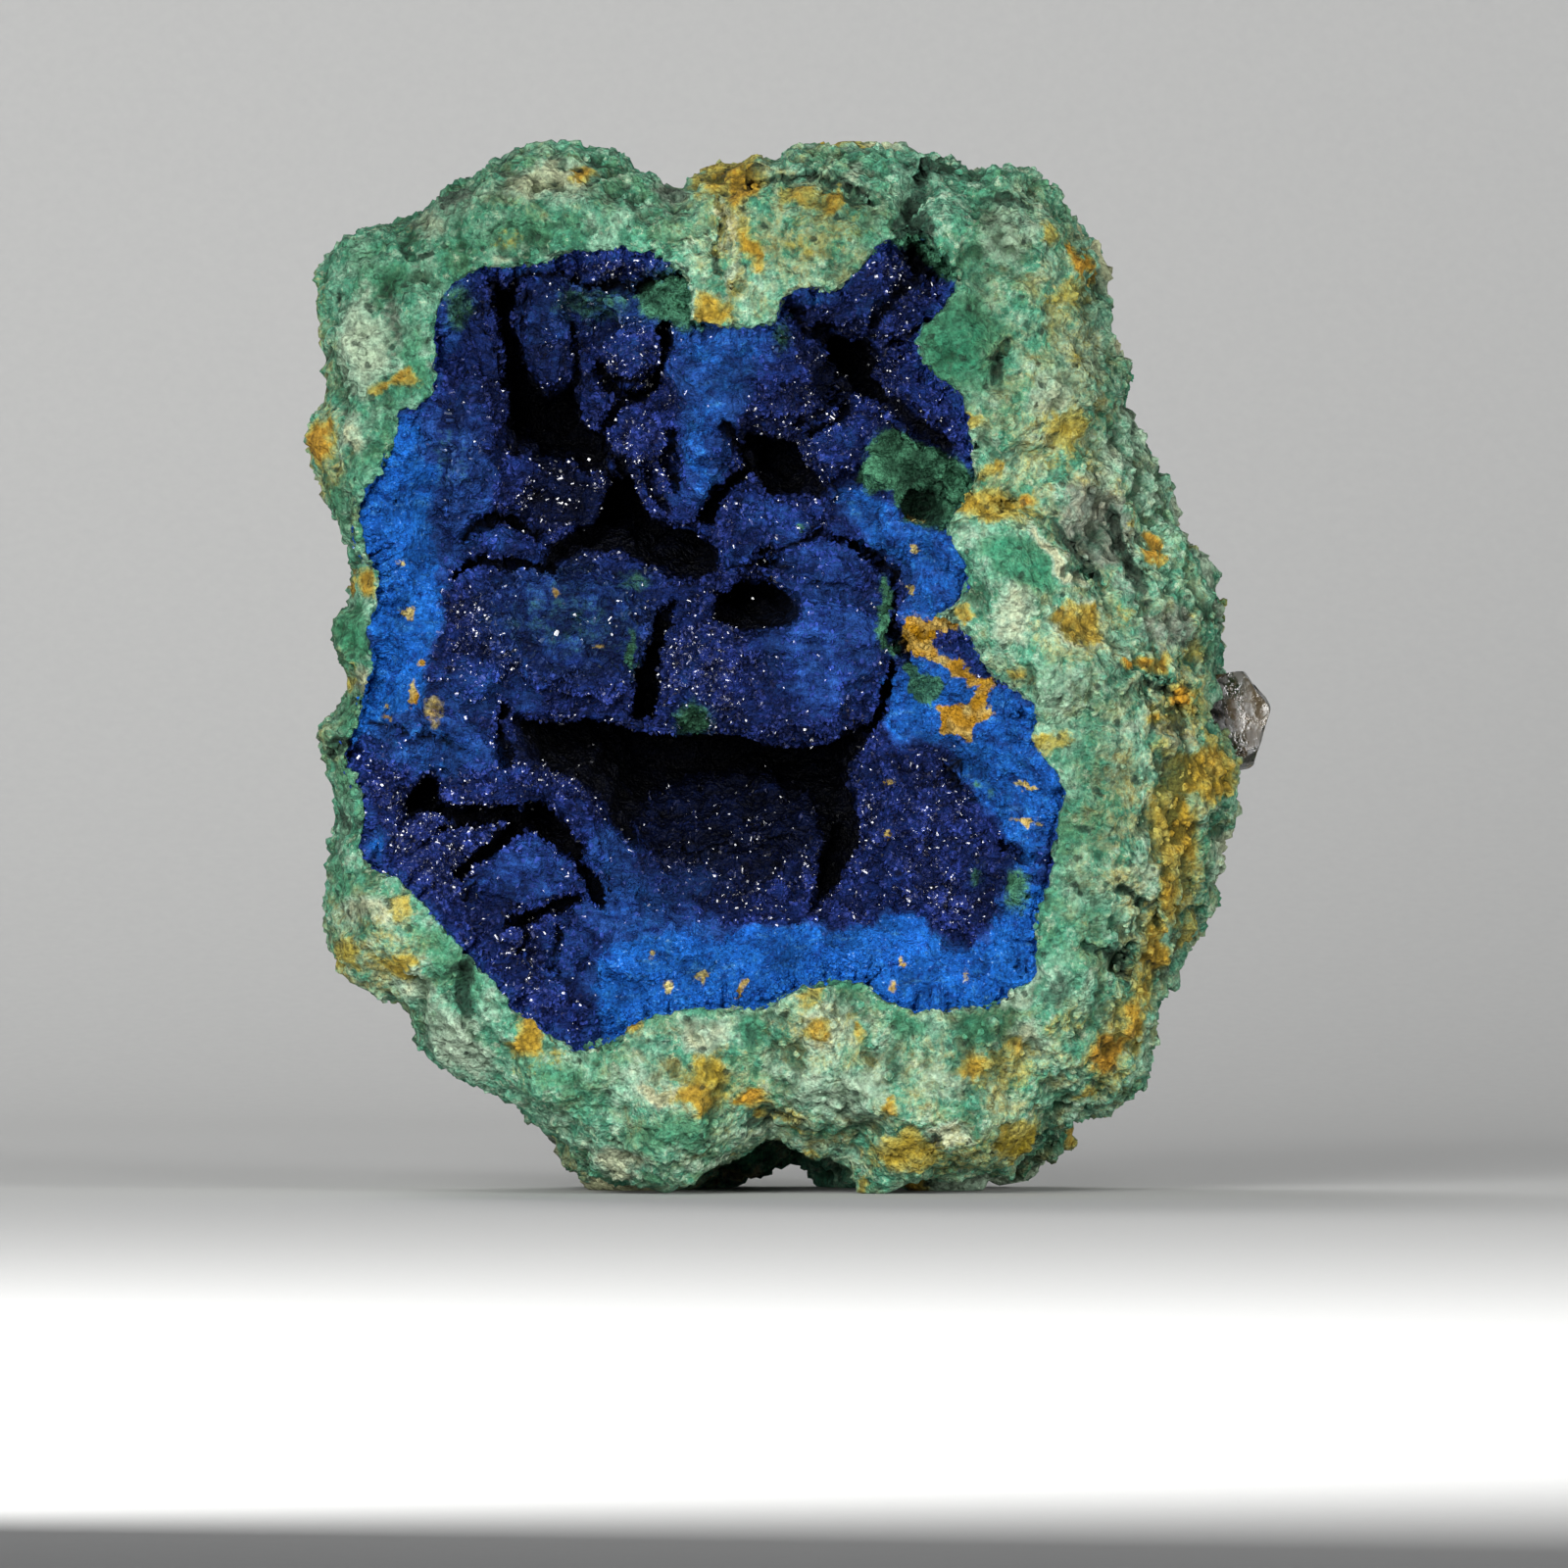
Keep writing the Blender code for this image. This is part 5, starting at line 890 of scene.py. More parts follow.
# Small places: x, z, half width, half height, turn, strength
POWDER_SPOTS = [
    (-28.5, 46.5, 3, 3, 0, 0.5), (-32, 41.2, 6.5, 2.8, -4, 0.62), (-37.6, 31.2, 1.3, 1.4, 0, 0.9),
    (-25, 84.6, 3.4, 0.4, 2, 0.6), (-31, 79.2, 0.5, 1.5, 0, 0.6), (-14, 26.2, 5, 3.6, -20, 0.6),
    (-23.4, 29.8, 4.6, 3.2, 6, 0.38), (-15.5, 30.6, 2.6, 3, 20, 0.5), (-20, 22, 1.8, 4, 0, 0.36),
    (22.4, 30.6, 1.6, 2.6, 0, 0.8), (-7.4, 77.4, 2.2, 1.4, 0, 0.72), (-8.2, 66, 1.4, 1.8, 0, 0.74),
    (-9.6, 22.6, 3.6, 1.2, 20, 1), (3, 82, 1.2, 0.4, 0, 0.7), (-5, 58.4, 3, 1.4, 0, 0.34),
    (3.2, 50.4, 5.6, 7.6, 4, 0.42), (3, 58, 5.6, 2.6, -12, 0.36), (-19.8, 53, 7, 4.8, -8, 0.34),
    (-21.6, 79.4, 2.6, 4.6, 6, 0.3), (-13, 81.6, 5.4, 1.8, -4, 0.4), (-9, 28.6, 5, 2.4, 0, 0.34),
    (-29.4, 64, 2.6, 8, 0, 0.44), (-28.6, 70.4, 1.8, 4, 0, 0.3), (-14.2, 77.4, 2.6, 2, 0, 0.3),
    (-24, 46.4, 2.4, 2.4, 0, 0.34), (4.6, 69.6, 2.4, 1.8, 0, 0.34), (-0.8, 62.2, 4, 1.6, 0, 0.34),
    (-8.6, 47.6, 1, 4.4, 0, 0.3), (-26.4, 60.4, 2.6, 1.2, 0, 0.36), (8.4, 81.2, 1.8, 3, -40, 0.25),
    (7.4, 63.2, 2.4, 1.4, 0, 0.6), (13.6, 45.2, 2.6, 2.4, 0, 0.95), (-6, 18.8, 4, 0.9, 4, 1),
]
print("Places with powder:", len(POWDER_AREAS) + len(POWDER_SPOTS))

# %% Malachite and ochre crumbs
# Green malachite over the azurite, small places and then outlines, in the same forms
GREEN_SPOTS = [
    (-29.8, 81.2, 1.5, 2.4, 0, 0.6), (-30.5, 67, 2.6, 4.2, 0, 0.35), (-19.5, 52.8, 6.6, 4.4, -8, 0.4),
    (-14, 49.8, 0.5, 1.9, 0, 0.8), (-8.4, 43.4, 1.7, 1.5, 0, 0.85), (-0.3, 78.4, 0.9, 1.6, 0, 0.6),
    (10.2, 50, 0.8, 0.8, 0, 0.9), (17.5, 37.5, 0.6, 0.6, 0, 0.6), (19, 36.5, 0.6, 0.6, 0, 0.6),
    (17.7, 29, 0.8, 1.1, 0, 0.6), (21.3, 28, 1.3, 2.2, 0, 0.85), (1.4, 61.2, 0.5, 0.4, 0, 0.8),
    (0.8, 80.4, 0.4, 0.3, 0, 0.8), (-13.6, 56, 2, 1.2, 0, 0.5), (-24.6, 52, 1.4, 1.6, 0, 0.4),
]
GREEN_AREAS = [
    ([(6.4, 65.2), (7, 66.8), (7.8, 68.2), (8.8, 69.6), (10.2, 70.4), (11.2, 69.6), (12.4, 68.7),
      (13.8, 68.4), (15.2, 67.6), (16.6, 66.6), (18.2, 65.4), (18.4, 63.6), (16.2, 62.6), (15, 61.8),
      (14.2, 60.4), (12.2, 60.8), (10.8, 61.8), (10.2, 63.2), (9.6, 64.4), (8, 64.1)], 1, 0.6),
    ([(-13.8, 83.2), (-10.6, 84.8), (-6.8, 84.4), (-6.4, 79.8), (-8.8, 79), (-11, 79.4),
      (-13.4, 80.4)], 0.85, 1.3),
    ([(-21, 83.2), (-13.6, 83.4), (-13.2, 80), (-17, 79.4), (-21.4, 80.2)], 0.5, 1.5),
    ([(8.6, 56.6), (9.4, 57), (9.9, 55.4), (9.8, 53.2), (9.3, 51.4), (9.6, 49.8), (8.8, 50), (8.2, 51.6),
      (8.4, 53.4), (8.8, 55)], 0.85, 0.4),
    ([(11, 49.2), (12.2, 48.4), (12.4, 47.6), (14.2, 47.4), (14.9, 46.6), (14.2, 45.6), (13.6, 44.7),
      (12.2, 45), (11.3, 46), (11.6, 47.2), (10.9, 48.2)], 0.95, 0.4),
    ([(8.4, 89.6), (9.6, 87), (10.4, 86.3), (11.6, 86.2), (12.8, 85.2), (14.6, 83.9), (16.4, 83.6),
      (16.8, 89.6)], 1, 0.5),
]
# Ochre crumbs caught in the blue: outlines, then small places with a tone from cream (0) to gold (1)
CRUMB_AREAS = [
    ([(14, 44.5), (15.4, 44.6), (16.4, 44.9), (17.1, 45.2), (17.4, 46.4), (18.6, 47), (19.4, 46.6),
      (18.5, 45.6), (18.3, 44.7), (19.5, 44.2), (18.9, 43.6), (17.8, 43.2), (17.2, 42.6), (16.9, 41.5),
      (16.3, 41.8), (15.6, 42.2), (14.6, 42.1), (14.2, 42.5), (14.9, 43.3), (14.6, 43.9)], 1, 0.25),
    ([(18.6, 47), (17, 46.6), (16.5, 47.3), (15.6, 47.5), (14.6, 48.3), (13.2, 49.1), (12, 49.4),
      (11.2, 50), (10.8, 51.2), (11, 52.7), (12, 53), (13.4, 52.7), (14.6, 52.8), (15.6, 53.6), (16, 54.6),
      (17, 53.6), (16.7, 52.3), (15.4, 51.7), (14.2, 51.4), (13.3, 50.7), (14, 49.7), (15.4, 49.1),
      (16.4, 48.5), (16.8, 47.8), (18, 47.4)], 1, 0.3),
]
CRUMBS = [
    (-34.3, 53.3, 0.5, 0.5, 0, 1, 0.4), (-34, 45.8, 0.4, 1.4, 0, 0.9, 0.9),
    (-32, 44.2, 1, 1.5, 0, 0.5, 0.2), (-35, 58, 0.4, 0.4, 0, 0.9, 0.5), (-10.7, 19.2, 0.7, 0.6, 0, 1, 0.2),
    (-7.5, 20, 0.6, 0.4, 0, 0.9, 0.1), (-3.8, 19, 0.3, 1.2, -16, 0.9, 0.5),
    (-12, 22, 0.4, 0.4, 0, 0.9, 0.2), (11.5, 55.5, 0.5, 0.4, 0, 0.9, 0.1), (12, 59, 0.4, 0.4, 0, 0.8, 0.2),
    (9.5, 33, 0.4, 0.6, 0, 0.8, 0.3), (9.5, 38, 0.5, 0.4, 0, 0.8, 0.3), (22, 37.5, 1.1, 0.3, -12, 0.9, 0.2),
    (22.3, 34, 1.4, 0.3, -8, 0.9, 0.2), (10.8, 21.4, 0.3, 0.7, 10, 0.8, 0.4),
    (10, 19, 0.4, 0.6, 0, 0.8, 0.4), (16.5, 19.8, 0.4, 0.5, 0, 0.6, 0.3),
    (-36.2, 43.6, 0.3, 0.9, 0, 0.7, 0.8), (6, 44, 0.3, 1, 20, 0.4, 0), (12.2, 61.6, 1, 0.4, -20, 0.6, 0.3),
    (-33, 48.6, 0.5, 0.3, 0, 0.8, 0.5), (-20.6, 55, 0.4, 0.4, 0, 0.6, 0.3),
    (-17, 50.2, 0.4, 0.3, 0, 0.6, 0.3),
]
print("Places with malachite or crumbs:", sum(map(len, (GREEN_SPOTS, GREEN_AREAS, CRUMB_AREAS, CRUMBS))))


# %% The crust's zones and relief
def crust_zones(places):
    """The attributes that the azurite's materials read, from places in millimetres."""
    ragged = wander(wander(wander(places, 4.2, 1.5), 1.7, 0.9), 0.6, 0.5)
    frayed = wander(wander(places, 1.5, 0.5), 0.5, 0.35)
    powder = np.maximum(spots(ragged, POWDER_SPOTS, soft=0.6)[0], areas(ragged, POWDER_AREAS))
    green = np.maximum(spots(frayed, GREEN_SPOTS)[0], areas(frayed, GREEN_AREAS))
    crumbs, rust = spots(frayed, CRUMBS, soft=0.35)
    outlined = areas(frayed, CRUMB_AREAS)
    rust = np.where(outlined > crumbs, 0.85, rust) + 0.9 * field(places, 1.1, 31)
    return {"powder": np.maximum(powder, 0.32 * smooth((0.9 - ragged_rim(places)) / 0.8)), "green": green,
            "crumbs": np.maximum(crumbs, outlined), "rust": np.clip(rust, 0.0, 1.0)}


places = places_of(crust)
zones = crust_zones(places)
in_view = smooth((0.3 - normals_of(crust)[:, 1]) / 0.4)
off_rim = smooth(rim_distance(places) / 2.4)
set_group(crust, "in_view", in_view)
set_group(crust, "off_rim", in_view * off_rim)
set_group(crust, "druse", in_view * off_rim * (1.0 - 0.75 * zones["powder"]))
base = places.copy()
relief(crust, "waves", "CLOUDS", 3.4, 1.6, 0.58, "off_rim", noise_depth=2)
relief(crust, "knobs", "VORONOI", 1.8, -1.2, 0.3, "druse", distance_metric="DISTANCE")
relief(crust, "fine", "CLOUDS", 0.6, 0.5, 0.5, "in_view", noise_depth=1)
set_places(crust, places_of(crust))
moved = np.sum((places_of(crust) - base) * normals_of(crust), axis=1)
write_attribute(crust, "height", moved)
set_group(crust, "thin", 1.0 - 0.9 * in_view)
full_count = 2 * len(crust.data.polygons)
modify(crust, "DECIMATE", ratio=min(1.0, CRUST_TRIANGLES / full_count), vertex_group="thin",
       vertex_group_factor=0.0004)
crust.vertex_groups.clear()
set_places(crust, places_of(crust))
print("Crust:", len(triangles_of(crust)), "triangles, from", full_count)

# %% [markdown]
# ## How open each place is
# Deep in a cleft hardly any light arrives, and the clefts of the real crust look black. Rays are sent out
# from each point of the crust's front, and the share that gets away says how open the place is. The
# materials use it as painted shade, which darkens the azurite and its crystals in the clefts.

# %% Rays from the crust
RAYS = 14
RAY_LENGTH = 26.0
RAY_LIFT = 0.12  # how far above its own face a ray starts
RAY_OUTWARD = 1.05  # keeps every ray on the outer side of its face


def openness(obj, random):
    """The share of rays from each point of a mesh that leave without hitting the mesh itself."""
    places, facing = places_of(obj), normals_of(obj)
    tree = BVHTree.FromPolygons(places.tolist(), triangles_of(obj).tolist())
    rays = random.normal(size=(RAYS, 3))
    rays /= np.linalg.norm(rays, axis=1, keepdims=True)
    free = np.ones(len(places))
    for i in np.flatnonzero(facing[:, 1] < 0.4):
        start, towards = places[i] + RAY_LIFT * facing[i], rays + RAY_OUTWARD * facing[i]
        hits = sum(tree.ray_cast(start, ray, RAY_LENGTH)[0] is not None for ray in towards)
        free[i] = 1.0 - hits / RAYS
    return free


free = openness(crust, np.random.default_rng(5))
print("Openness of the crust: from", round(free.min(), 2), "to", round(free.max(), 2))

# %% Light that reaches the crust
# Places that catch little of it: x, z, half width, half height, turn, strength
DIM_PLACES = [
    (-5, 33.6, 9, 4.6, -4, 1), (-8, 28.8, 7, 2.4, -6, 0.7), (-20.4, 64, 4.4, 3.4, 0, 0.9),
    (-20.6, 69.6, 1.9, 1.4, 0, 0.6), (13, 62.8, 2.4, 1.8, -10, 0.9), (-22, 40.6, 3.6, 1.8, 0, 0.9),
    (-13.4, 60.4, 3, 2, -20, 0.9), (4.6, 74.6, 2.8, 2.6, 0, 0.9), (-16.8, 56.8, 3, 0.8, 0, 0.4),
    (-22, 77.4, 8.5, 9, 0, 0.45), (7.4, 80.6, 7, 6.6, -30, 0.45), (-5, 53.8, 6, 3, 0, 0.5),
    (-0.6, 70.4, 5, 3.4, 0, 0.45), (-7, 46, 3.2, 4, 0, 0.3), (-20, 53.6, 6.6, 4.6, -6, 0.3),
    (-1.4, 22.4, 4.4, 2.2, 0, 0.35), (12.6, 64, 3, 1.8, -30, 0.5), (13, 67.4, 1.6, 1, 0, 0.3),
]
DIMMEST = 0.16  # what is left of the light in the dimmest place that isn't a gap
# The crust's front bulges like a watch glass, which is highest at (x, z) and falls off by so much at its edge
FRONT_X, FRONT_Y, FRONT_Z = -1.0, -27.0, 47.0
BULGE, BULGE_RADIUS = 1.6, 45.0

places = places_of(crust)
for name, values in crust_zones(places).items():
    write_attribute(crust, name, values)
from_middle = (places[:, 0] - FRONT_X) ** 2 + (places[:, 2] - FRONT_Z) ** 2
depth = places[:, 1] - FRONT_Y - BULGE * from_middle / BULGE_RADIUS**2
# Painted shade: darker where few rays get away and deep behind the front
lit = smooth(free / 0.5) * (1.0 - 0.9 * smooth((depth - 5.5) / 5.0))
gap, _ = gaping(*wandering(places))
dim, _ = spots(wander(places, 2.0, 0.8), DIM_PLACES, soft=0.6)
# Painted shade in the dim places and black in hollows and cracks, but none at the rim
lit = np.maximum(lit, smooth((1.6 - rim_distance(places)) / 1.2))
lit = np.maximum(lit * (1.0 - dim), DIMMEST * smooth(dim / 0.8)) * (1.0 - 0.97 * gap)
write_attribute(crust, "lit", lit)
print("The crust lies up to", round(depth.max(), 1), "mm deep and is lit from", round(lit.min(), 2), "to 1")

# %% [markdown]
# ## The druse
# Away from the powder the azurite is a druse, a carpet of blade-like crystals a third of a millimetre wide.
# Most are dusted over, and the clean ones glitter where a face happens to mirror a lamp. Bump in a material
# can't make that glitter, because it takes true flat faces. One crystal is a six-sided prism with a chisel
# end, 20 triangles, and thousands of copies stand on the crust, leaning every way: two meshes of dusted
# ones and two of clean ones, which stand closest where the real druse glitters most. The powder gets loose
# crumbs, as the rock got grains.

# %% Where the druse glitters most
# x, z, half width, half height, turn, strength
GLITTERING = [
    (-28.4, 50.6, 4.4, 4.4, 0, 1.5), (-31, 33.6, 4.4, 5, 0, 1.4), (-7.4, 48, 3.4, 4.6, 0, 1.6),
    (-24.6, 20.8, 3.6, 5, -40, 0.9), (13, 26, 7, 2.2, 0, 0.9), (-13, 76, 3, 3, 0, 1.2),
    (-36, 38, 3, 3, 0, 0.8), (-22, 38.2, 4.4, 1.6, 0, 0.8), (-14, 68, 3, 2.6, 0, 0.7),
    (3, 68, 3, 2.4, 0, 0.7), (10, 83, 4, 3, 40, 0.6), (-15, 85, 5, 1.2, 0, 0.8), (-4, 31, 8, 5, 0, 1),
    (-20, 64, 4, 3, 0, 1.2), (12, 34, 6, 6, 0, 0.55), (6, 72, 5, 6, 0, 0.5),
]
print("Glittering places:", len(GLITTERING))


# %% One crystal, and how to strew copies of it
HALF_WIDTHS = (0.1, 0.26)
LENGTHS = (0.3, 0.75)
COPIED_SUNK = 0.02  # how far the middle of a copy lies under the surface


def crystal_shape():
    """A prism along z with a ridge at its end: six corners below, six above and two on the ridge."""
    ring = [(1.0, 0.0), (0.45, 0.5), (-0.45, 0.5), (-1.0, 0.0), (-0.45, -0.5), (0.45, -0.5)]
    points = [(u, v, -0.5) for u, v in ring] + [(u, v, 0.25) for u, v in ring]
    points += [(0.5, 0.0, 0.55), (-0.5, 0.0, 0.45)]
    faces = []
    for i in range(6):
        j = (i + 1) % 6
        faces += [(i, j, 6 + j), (i, 6 + j, 6 + i)]
    faces += [(6, 7, 12), (7, 8, 13), (7, 13, 12), (8, 9, 13)]
    faces += [(9, 10, 13), (10, 11, 12), (10, 12, 13), (11, 6, 12)]
    return np.array(points), np.array(faces)


def strew(name, form, weights, count, lean, sizes, random):
    """Copies of a form on the crust, leaning at random, with the attributes of the places they stand on."""
    shape, faces = form
    at, out, area, read = pick_places(crust, weights, count, random)
    leaning = out + lean * random.normal(size=out.shape)
    leaning /= np.linalg.norm(leaning, axis=1, keepdims=True)
    piece = joined_copies(name, shape, faces, at - COPIED_SUNK * out, frames_along(leaning, random), sizes,
                          0.1, random)
    for attribute in ("powder", "green", "crumbs", "rust", "lit", "height"):
        write_attribute(piece, attribute, np.repeat(read(read_attribute(crust, attribute)), len(shape)))
    print(name, "has", count, "copies over", round(area), "square mm,", len(triangles_of(piece)), "triangles")
    return piece


def blade_sizes(count, random):
    """Half widths, half thicknesses and lengths of that many crystals."""
    width = random.uniform(*HALF_WIDTHS, count)
    thickness = 0.8 * width * random.uniform(0.6, 1.2, count)
    return np.stack([width, thickness, random.uniform(*LENGTHS, count)], axis=1)


print("One crystal:", len(crystal_shape()[1]), "triangles")

# %% Druse, glints and crumbs
CRYSTALS_PER_MESH = 8500
CRYSTAL_LEAN, CRUMB_LEAN = 0.62, 0.5
CRUMB_COUNT = 6500
CRUMB_RADII = (0.12, 0.3)

places = places_of(crust)
covered = np.maximum.reduce([read_attribute(crust, name) for name in ("powder", "green", "crumbs")])
in_front = normals_of(crust)[:, 1] < 0.25
patchy = 0.45 + 1.1 * smooth((field(places, 4.5, 21) + 0.6 * field(places, 1.8, 22) + 0.45) / 0.9)
bare = np.clip(1.0 - 1.9 * covered, 0.0, 1.0) * patchy * in_front
glitter, _ = spots(wander(places, 3.0, 1.0), GLITTERING, soft=0.7)
dusted = bare * (0.03 + 0.97 * smooth((lit - 0.1) / 0.4))
clean = np.clip(1.05 - 1.4 * covered, 0.0, 1.0) * patchy * in_front
clean *= (0.25 + 1.5 * glitter) * (0.04 + 0.96 * smooth((lit - 0.05) / 0.45))
druse, glints = [], []
for meshes, kind, weights, first_seed in ((druse, "druse", dusted, 41), (glints, "glints", clean, 43)):
    for number in (0, 1):
        random = np.random.default_rng(first_seed + number)
        sizes = blade_sizes(CRYSTALS_PER_MESH, random)
        meshes.append(strew(f"azurite_{kind}_{number + 1}", crystal_shape(), weights, CRYSTALS_PER_MESH,
                            CRYSTAL_LEAN, sizes, random))
random = np.random.default_rng(45)
crumb_sizes = random.uniform(*CRUMB_RADII, (CRUMB_COUNT, 1)) * random.uniform(0.7, 1.3, (CRUMB_COUNT, 3))
on_powder = smooth((covered - 0.35) / 0.3) * in_front * patchy * smooth((lit - 0.1) / 0.4)
loose = strew("azurite_crumbs", (ball_points, ball_faces), on_powder, CRUMB_COUNT, CRUMB_LEAN,
              crumb_sizes, random)

# %% [markdown]
# ## The quartz grain
# Quartz breaks like glass, in smooth curved faces with sharp edges, and this grain is slightly smoky. The
# CAD solid has its main faces. A bevel takes the hardest edges off, so that they catch the light, and a
# little noise makes the faces uneven.

# %% The quartz grain
quartz = copy_of_node("quartz_grain", "quartz_crystal")
modify(quartz, "BEVEL", width=0.25 * MM, segments=2, limit_method="ANGLE", angle_limit=math.radians(24))
modify(quartz, "SUBSURF", subdivision_type="SIMPLE", levels=2, render_levels=2)
relief(quartz, "shell_breaks", "CLOUDS", 2.4, 0.5, 0.6, "", noise_depth=1)
set_places(quartz, places_of(quartz))
only(quartz)
bpy.ops.object.shade_smooth_by_angle(angle=math.radians(32))
print("Quartz:", len(triangles_of(quartz)), "triangles")

# %% [markdown]
# ## The rock's material
# Malachite that stains a porous rock is an earthy copper carbonate: dull, mottled and never one green. A
# flat green with bump would look like plastic. The material mixes green and mint in patches of a few
# millimetres, lays each stain over it where the stored zones say so, and shades the outcome grain by grain.
# Fine noise breaks the edge of every stain.

# %% Helpers for materials
PATTERN_TYPES = ("TEX_NOISE", "TEX_VORONOI")


def start_material(name):
    """An empty material with its shader, output, and the object's own coordinates."""
    material = bpy.data.materials.new(name)
    material.use_nodes = True
    tree = material.node_tree
    tree.nodes.clear()
    shader = add(tree, "ShaderNodeBsdfPrincipled")
    add(tree, "ShaderNodeOutputMaterial", {"Surface": shader.outputs["BSDF"]})
    coordinates = add(tree, "ShaderNodeTexCoord")
    return material, tree, shader, coordinates.outputs["Object"]


def per_mm(size):
    """Noise scale, in features per metre, for features of that size in millimetres."""
    return 1.0 / (size * MM)


def lay_over(tree, colour, value, low, high, strongest, tint, within=None, **settings):
    """Lays a tint over a colour: none of it where the value is low, its strongest share where it is high."""
    share = add(tree, "ShaderNodeMapRange", {"Value": value, "From Min": low, "From Max": high,
                                             "To Max": strongest}, interpolation_type="SMOOTHSTEP")
    share = share.outputs["Result"]
    if within:
        share = add(tree, "ShaderNodeMath", {0: share, 1: within}, operation="MULTIPLY").outputs["Value"]
    mix = add(tree, "ShaderNodeMix", {MIX_FACTOR: share, MIX_A: colour, MIX_B: linear(tint)},
              data_type="RGBA", **settings)
    return mix.outputs[MIX_COLOUR], share


def shaded(tree, colour, shade, factors):
    """Multiplies a colour by a shade and by each factor: (pattern, its low and high, the shade at each)."""
    for pattern, low, high, darkest, palest in factors:
        factor = add(tree, "ShaderNodeMapRange", {"Value": pattern, "From Min": low, "From Max": high,
                                                  "To Min": darkest, "To Max": palest}).outputs["Result"]
        shade = add(tree, "ShaderNodeMath", {0: shade, 1: factor}, operation="MULTIPLY").outputs["Value"]
    return add(tree, "ShaderNodeMix", {MIX_FACTOR: 1.0, MIX_A: colour, MIX_B: shade}, data_type="RGBA",
               blend_type="MULTIPLY").outputs[MIX_COLOUR]


def rough_share(tree, level, broken, low, high, strength):
    """How much of a stain shows: its stored level, with an edge that noise breaks up."""
    moved = add(tree, "ShaderNodeMath", {0: broken, 1: 1.1, 2: level}, operation="MULTIPLY_ADD")
    return add(tree, "ShaderNodeMapRange", {"Value": moved.outputs["Value"], "From Min": low + 0.55,
                                            "From Max": high + 0.55, "To Max": strength},
               interpolation_type="SMOOTHSTEP").outputs["Result"]


print("A pattern of 1 mm has a scale of", round(per_mm(1.0)), "per metre")

# %% Malachite-stained rock: its patterns
# An earthy crust on crumbling rock scatters all light: mottled green without any gloss
rock_material, tree, shader, here = start_material("malachite_stained_rock")
# Millimetres across, detail, roughness, distortion: patches, mottling, grains, flecks, scattered minerals
patches, mottle, specks, flecks, scatter = (
    add(tree, "ShaderNodeTexNoise", {"Vector": here, "Scale": per_mm(size), "Detail": detail,
                                     "Roughness": roughness, "Distortion": distortion}).outputs["Fac"]
    for size, detail, roughness, distortion in (
        (4.4, 5.0, 0.68, 0.0), (1.7, 5.0, 0.7, 0.0), (0.5, 3.0, 0.65, 0.0), (0.9, 6.0, 0.78, 0.15),
        (2.3, 5.0, 0.72, 0.4),
    )
)
crumble = add(tree, "ShaderNodeTexVoronoi", {"Vector": here, "Scale": per_mm(0.75), "Detail": 1.5,
                                             "Roughness": 0.6, "Randomness": 1.0})
shaken = add(tree, "ShaderNodeVectorMath", {0: specks.node.outputs["Color"], 1: (0.9 * MM,) * 3, 2: here},
             operation="MULTIPLY_ADD")
pores = add(tree, "ShaderNodeTexVoronoi", {"Vector": shaken.outputs["Vector"], "Scale": per_mm(1.7),
                                           "Randomness": 1.0})
print("Patterns of the rock:", sum(node.type in PATTERN_TYPES for node in tree.nodes))

# %% Malachite-stained rock: green and mint
# Noise, where it starts and ends to count, its strongest share, and the colour that it brings in
MOTTLING = [
    (patches, 0.44, 0.62, 0.85, "#83AE93"), (mottle, 0.54, 0.68, 0.7, "#A9C4AC"),
    (mottle, 0.47, 0.35, 0.8, "#32745A"), (patches, 0.48, 0.36, 0.5, "#587F55"),
    (flecks, 0.56, 0.62, 0.5, "#C9D2B4"), (flecks, 0.44, 0.38, 0.55, "#2F5B47"),
]
colour = linear("#458C70")
for pattern, low, high, strongest, tint in MOTTLING:
    colour, _ = lay_over(tree, colour, pattern, low, high, strongest, tint)
# Cream and gold scattered through the green, where the rock is warm
warm = add(tree, "ShaderNodeAttribute", attribute_name="warm").outputs["Fac"]
for low, high, strongest, tint in ((0.42, 0.58, 0.6, "#B0AC7C"), (0.55, 0.65, 0.7, "#998337")):
    colour, _ = lay_over(tree, colour, scatter, low, high, strongest, tint, within=warm)
print("Colours mixed into the green:", len(MOTTLING) + 2)

# %% Malachite-stained rock: stains
# Each stain: zone, its tone, colour round its edge, colours at tone 0 and at tone 1, strongest share
# The dark stain is painted shade in pits, cracks and under ledges on the front
STAINS = [
    ("vivid", "blueish", "#44805F", "#357A55", "#287A5C", 0.85),
    ("grey", None, "#6F7468", "#777A70", None, 0.8),
    ("pale", "cream", "#96B098", "#A3B9A2", "#BFBB94", 0.85),
    ("dark", "brown", "#2B4E3D", "#1B352A", "#241D12", 0.85),
    ("ochre", "rust", "#A39A4C", "#97871F", "#B27E1C", 0.94),
    ("blue", None, "#4D8C90", "#1C4FA0", None, 0.92),
]
for zone, tone, edge, first, last, strongest in STAINS:
    level = add(tree, "ShaderNodeAttribute", attribute_name=zone).outputs["Fac"]
    share = rough_share(tree, level, flecks, 0.3, 0.66, strongest)
    heart = linear(first)
    if tone:
        tone_at = add(tree, "ShaderNodeAttribute", attribute_name=tone)
        heart = add(tree, "ShaderNodeMix", {MIX_FACTOR: tone_at.outputs["Fac"], MIX_A: linear(first),
                                            MIX_B: linear(last)}, data_type="RGBA").outputs[MIX_COLOUR]
    inner = rough_share(tree, level, mottle, 0.5, 0.9, 1.0)
    tint = add(tree, "ShaderNodeMix", {MIX_FACTOR: inner, MIX_A: linear(edge), MIX_B: heart},
               data_type="RGBA").outputs[MIX_COLOUR]
    colour = add(tree, "ShaderNodeMix", {MIX_FACTOR: share, MIX_A: colour, MIX_B: tint},
                 data_type="RGBA").outputs[MIX_COLOUR]
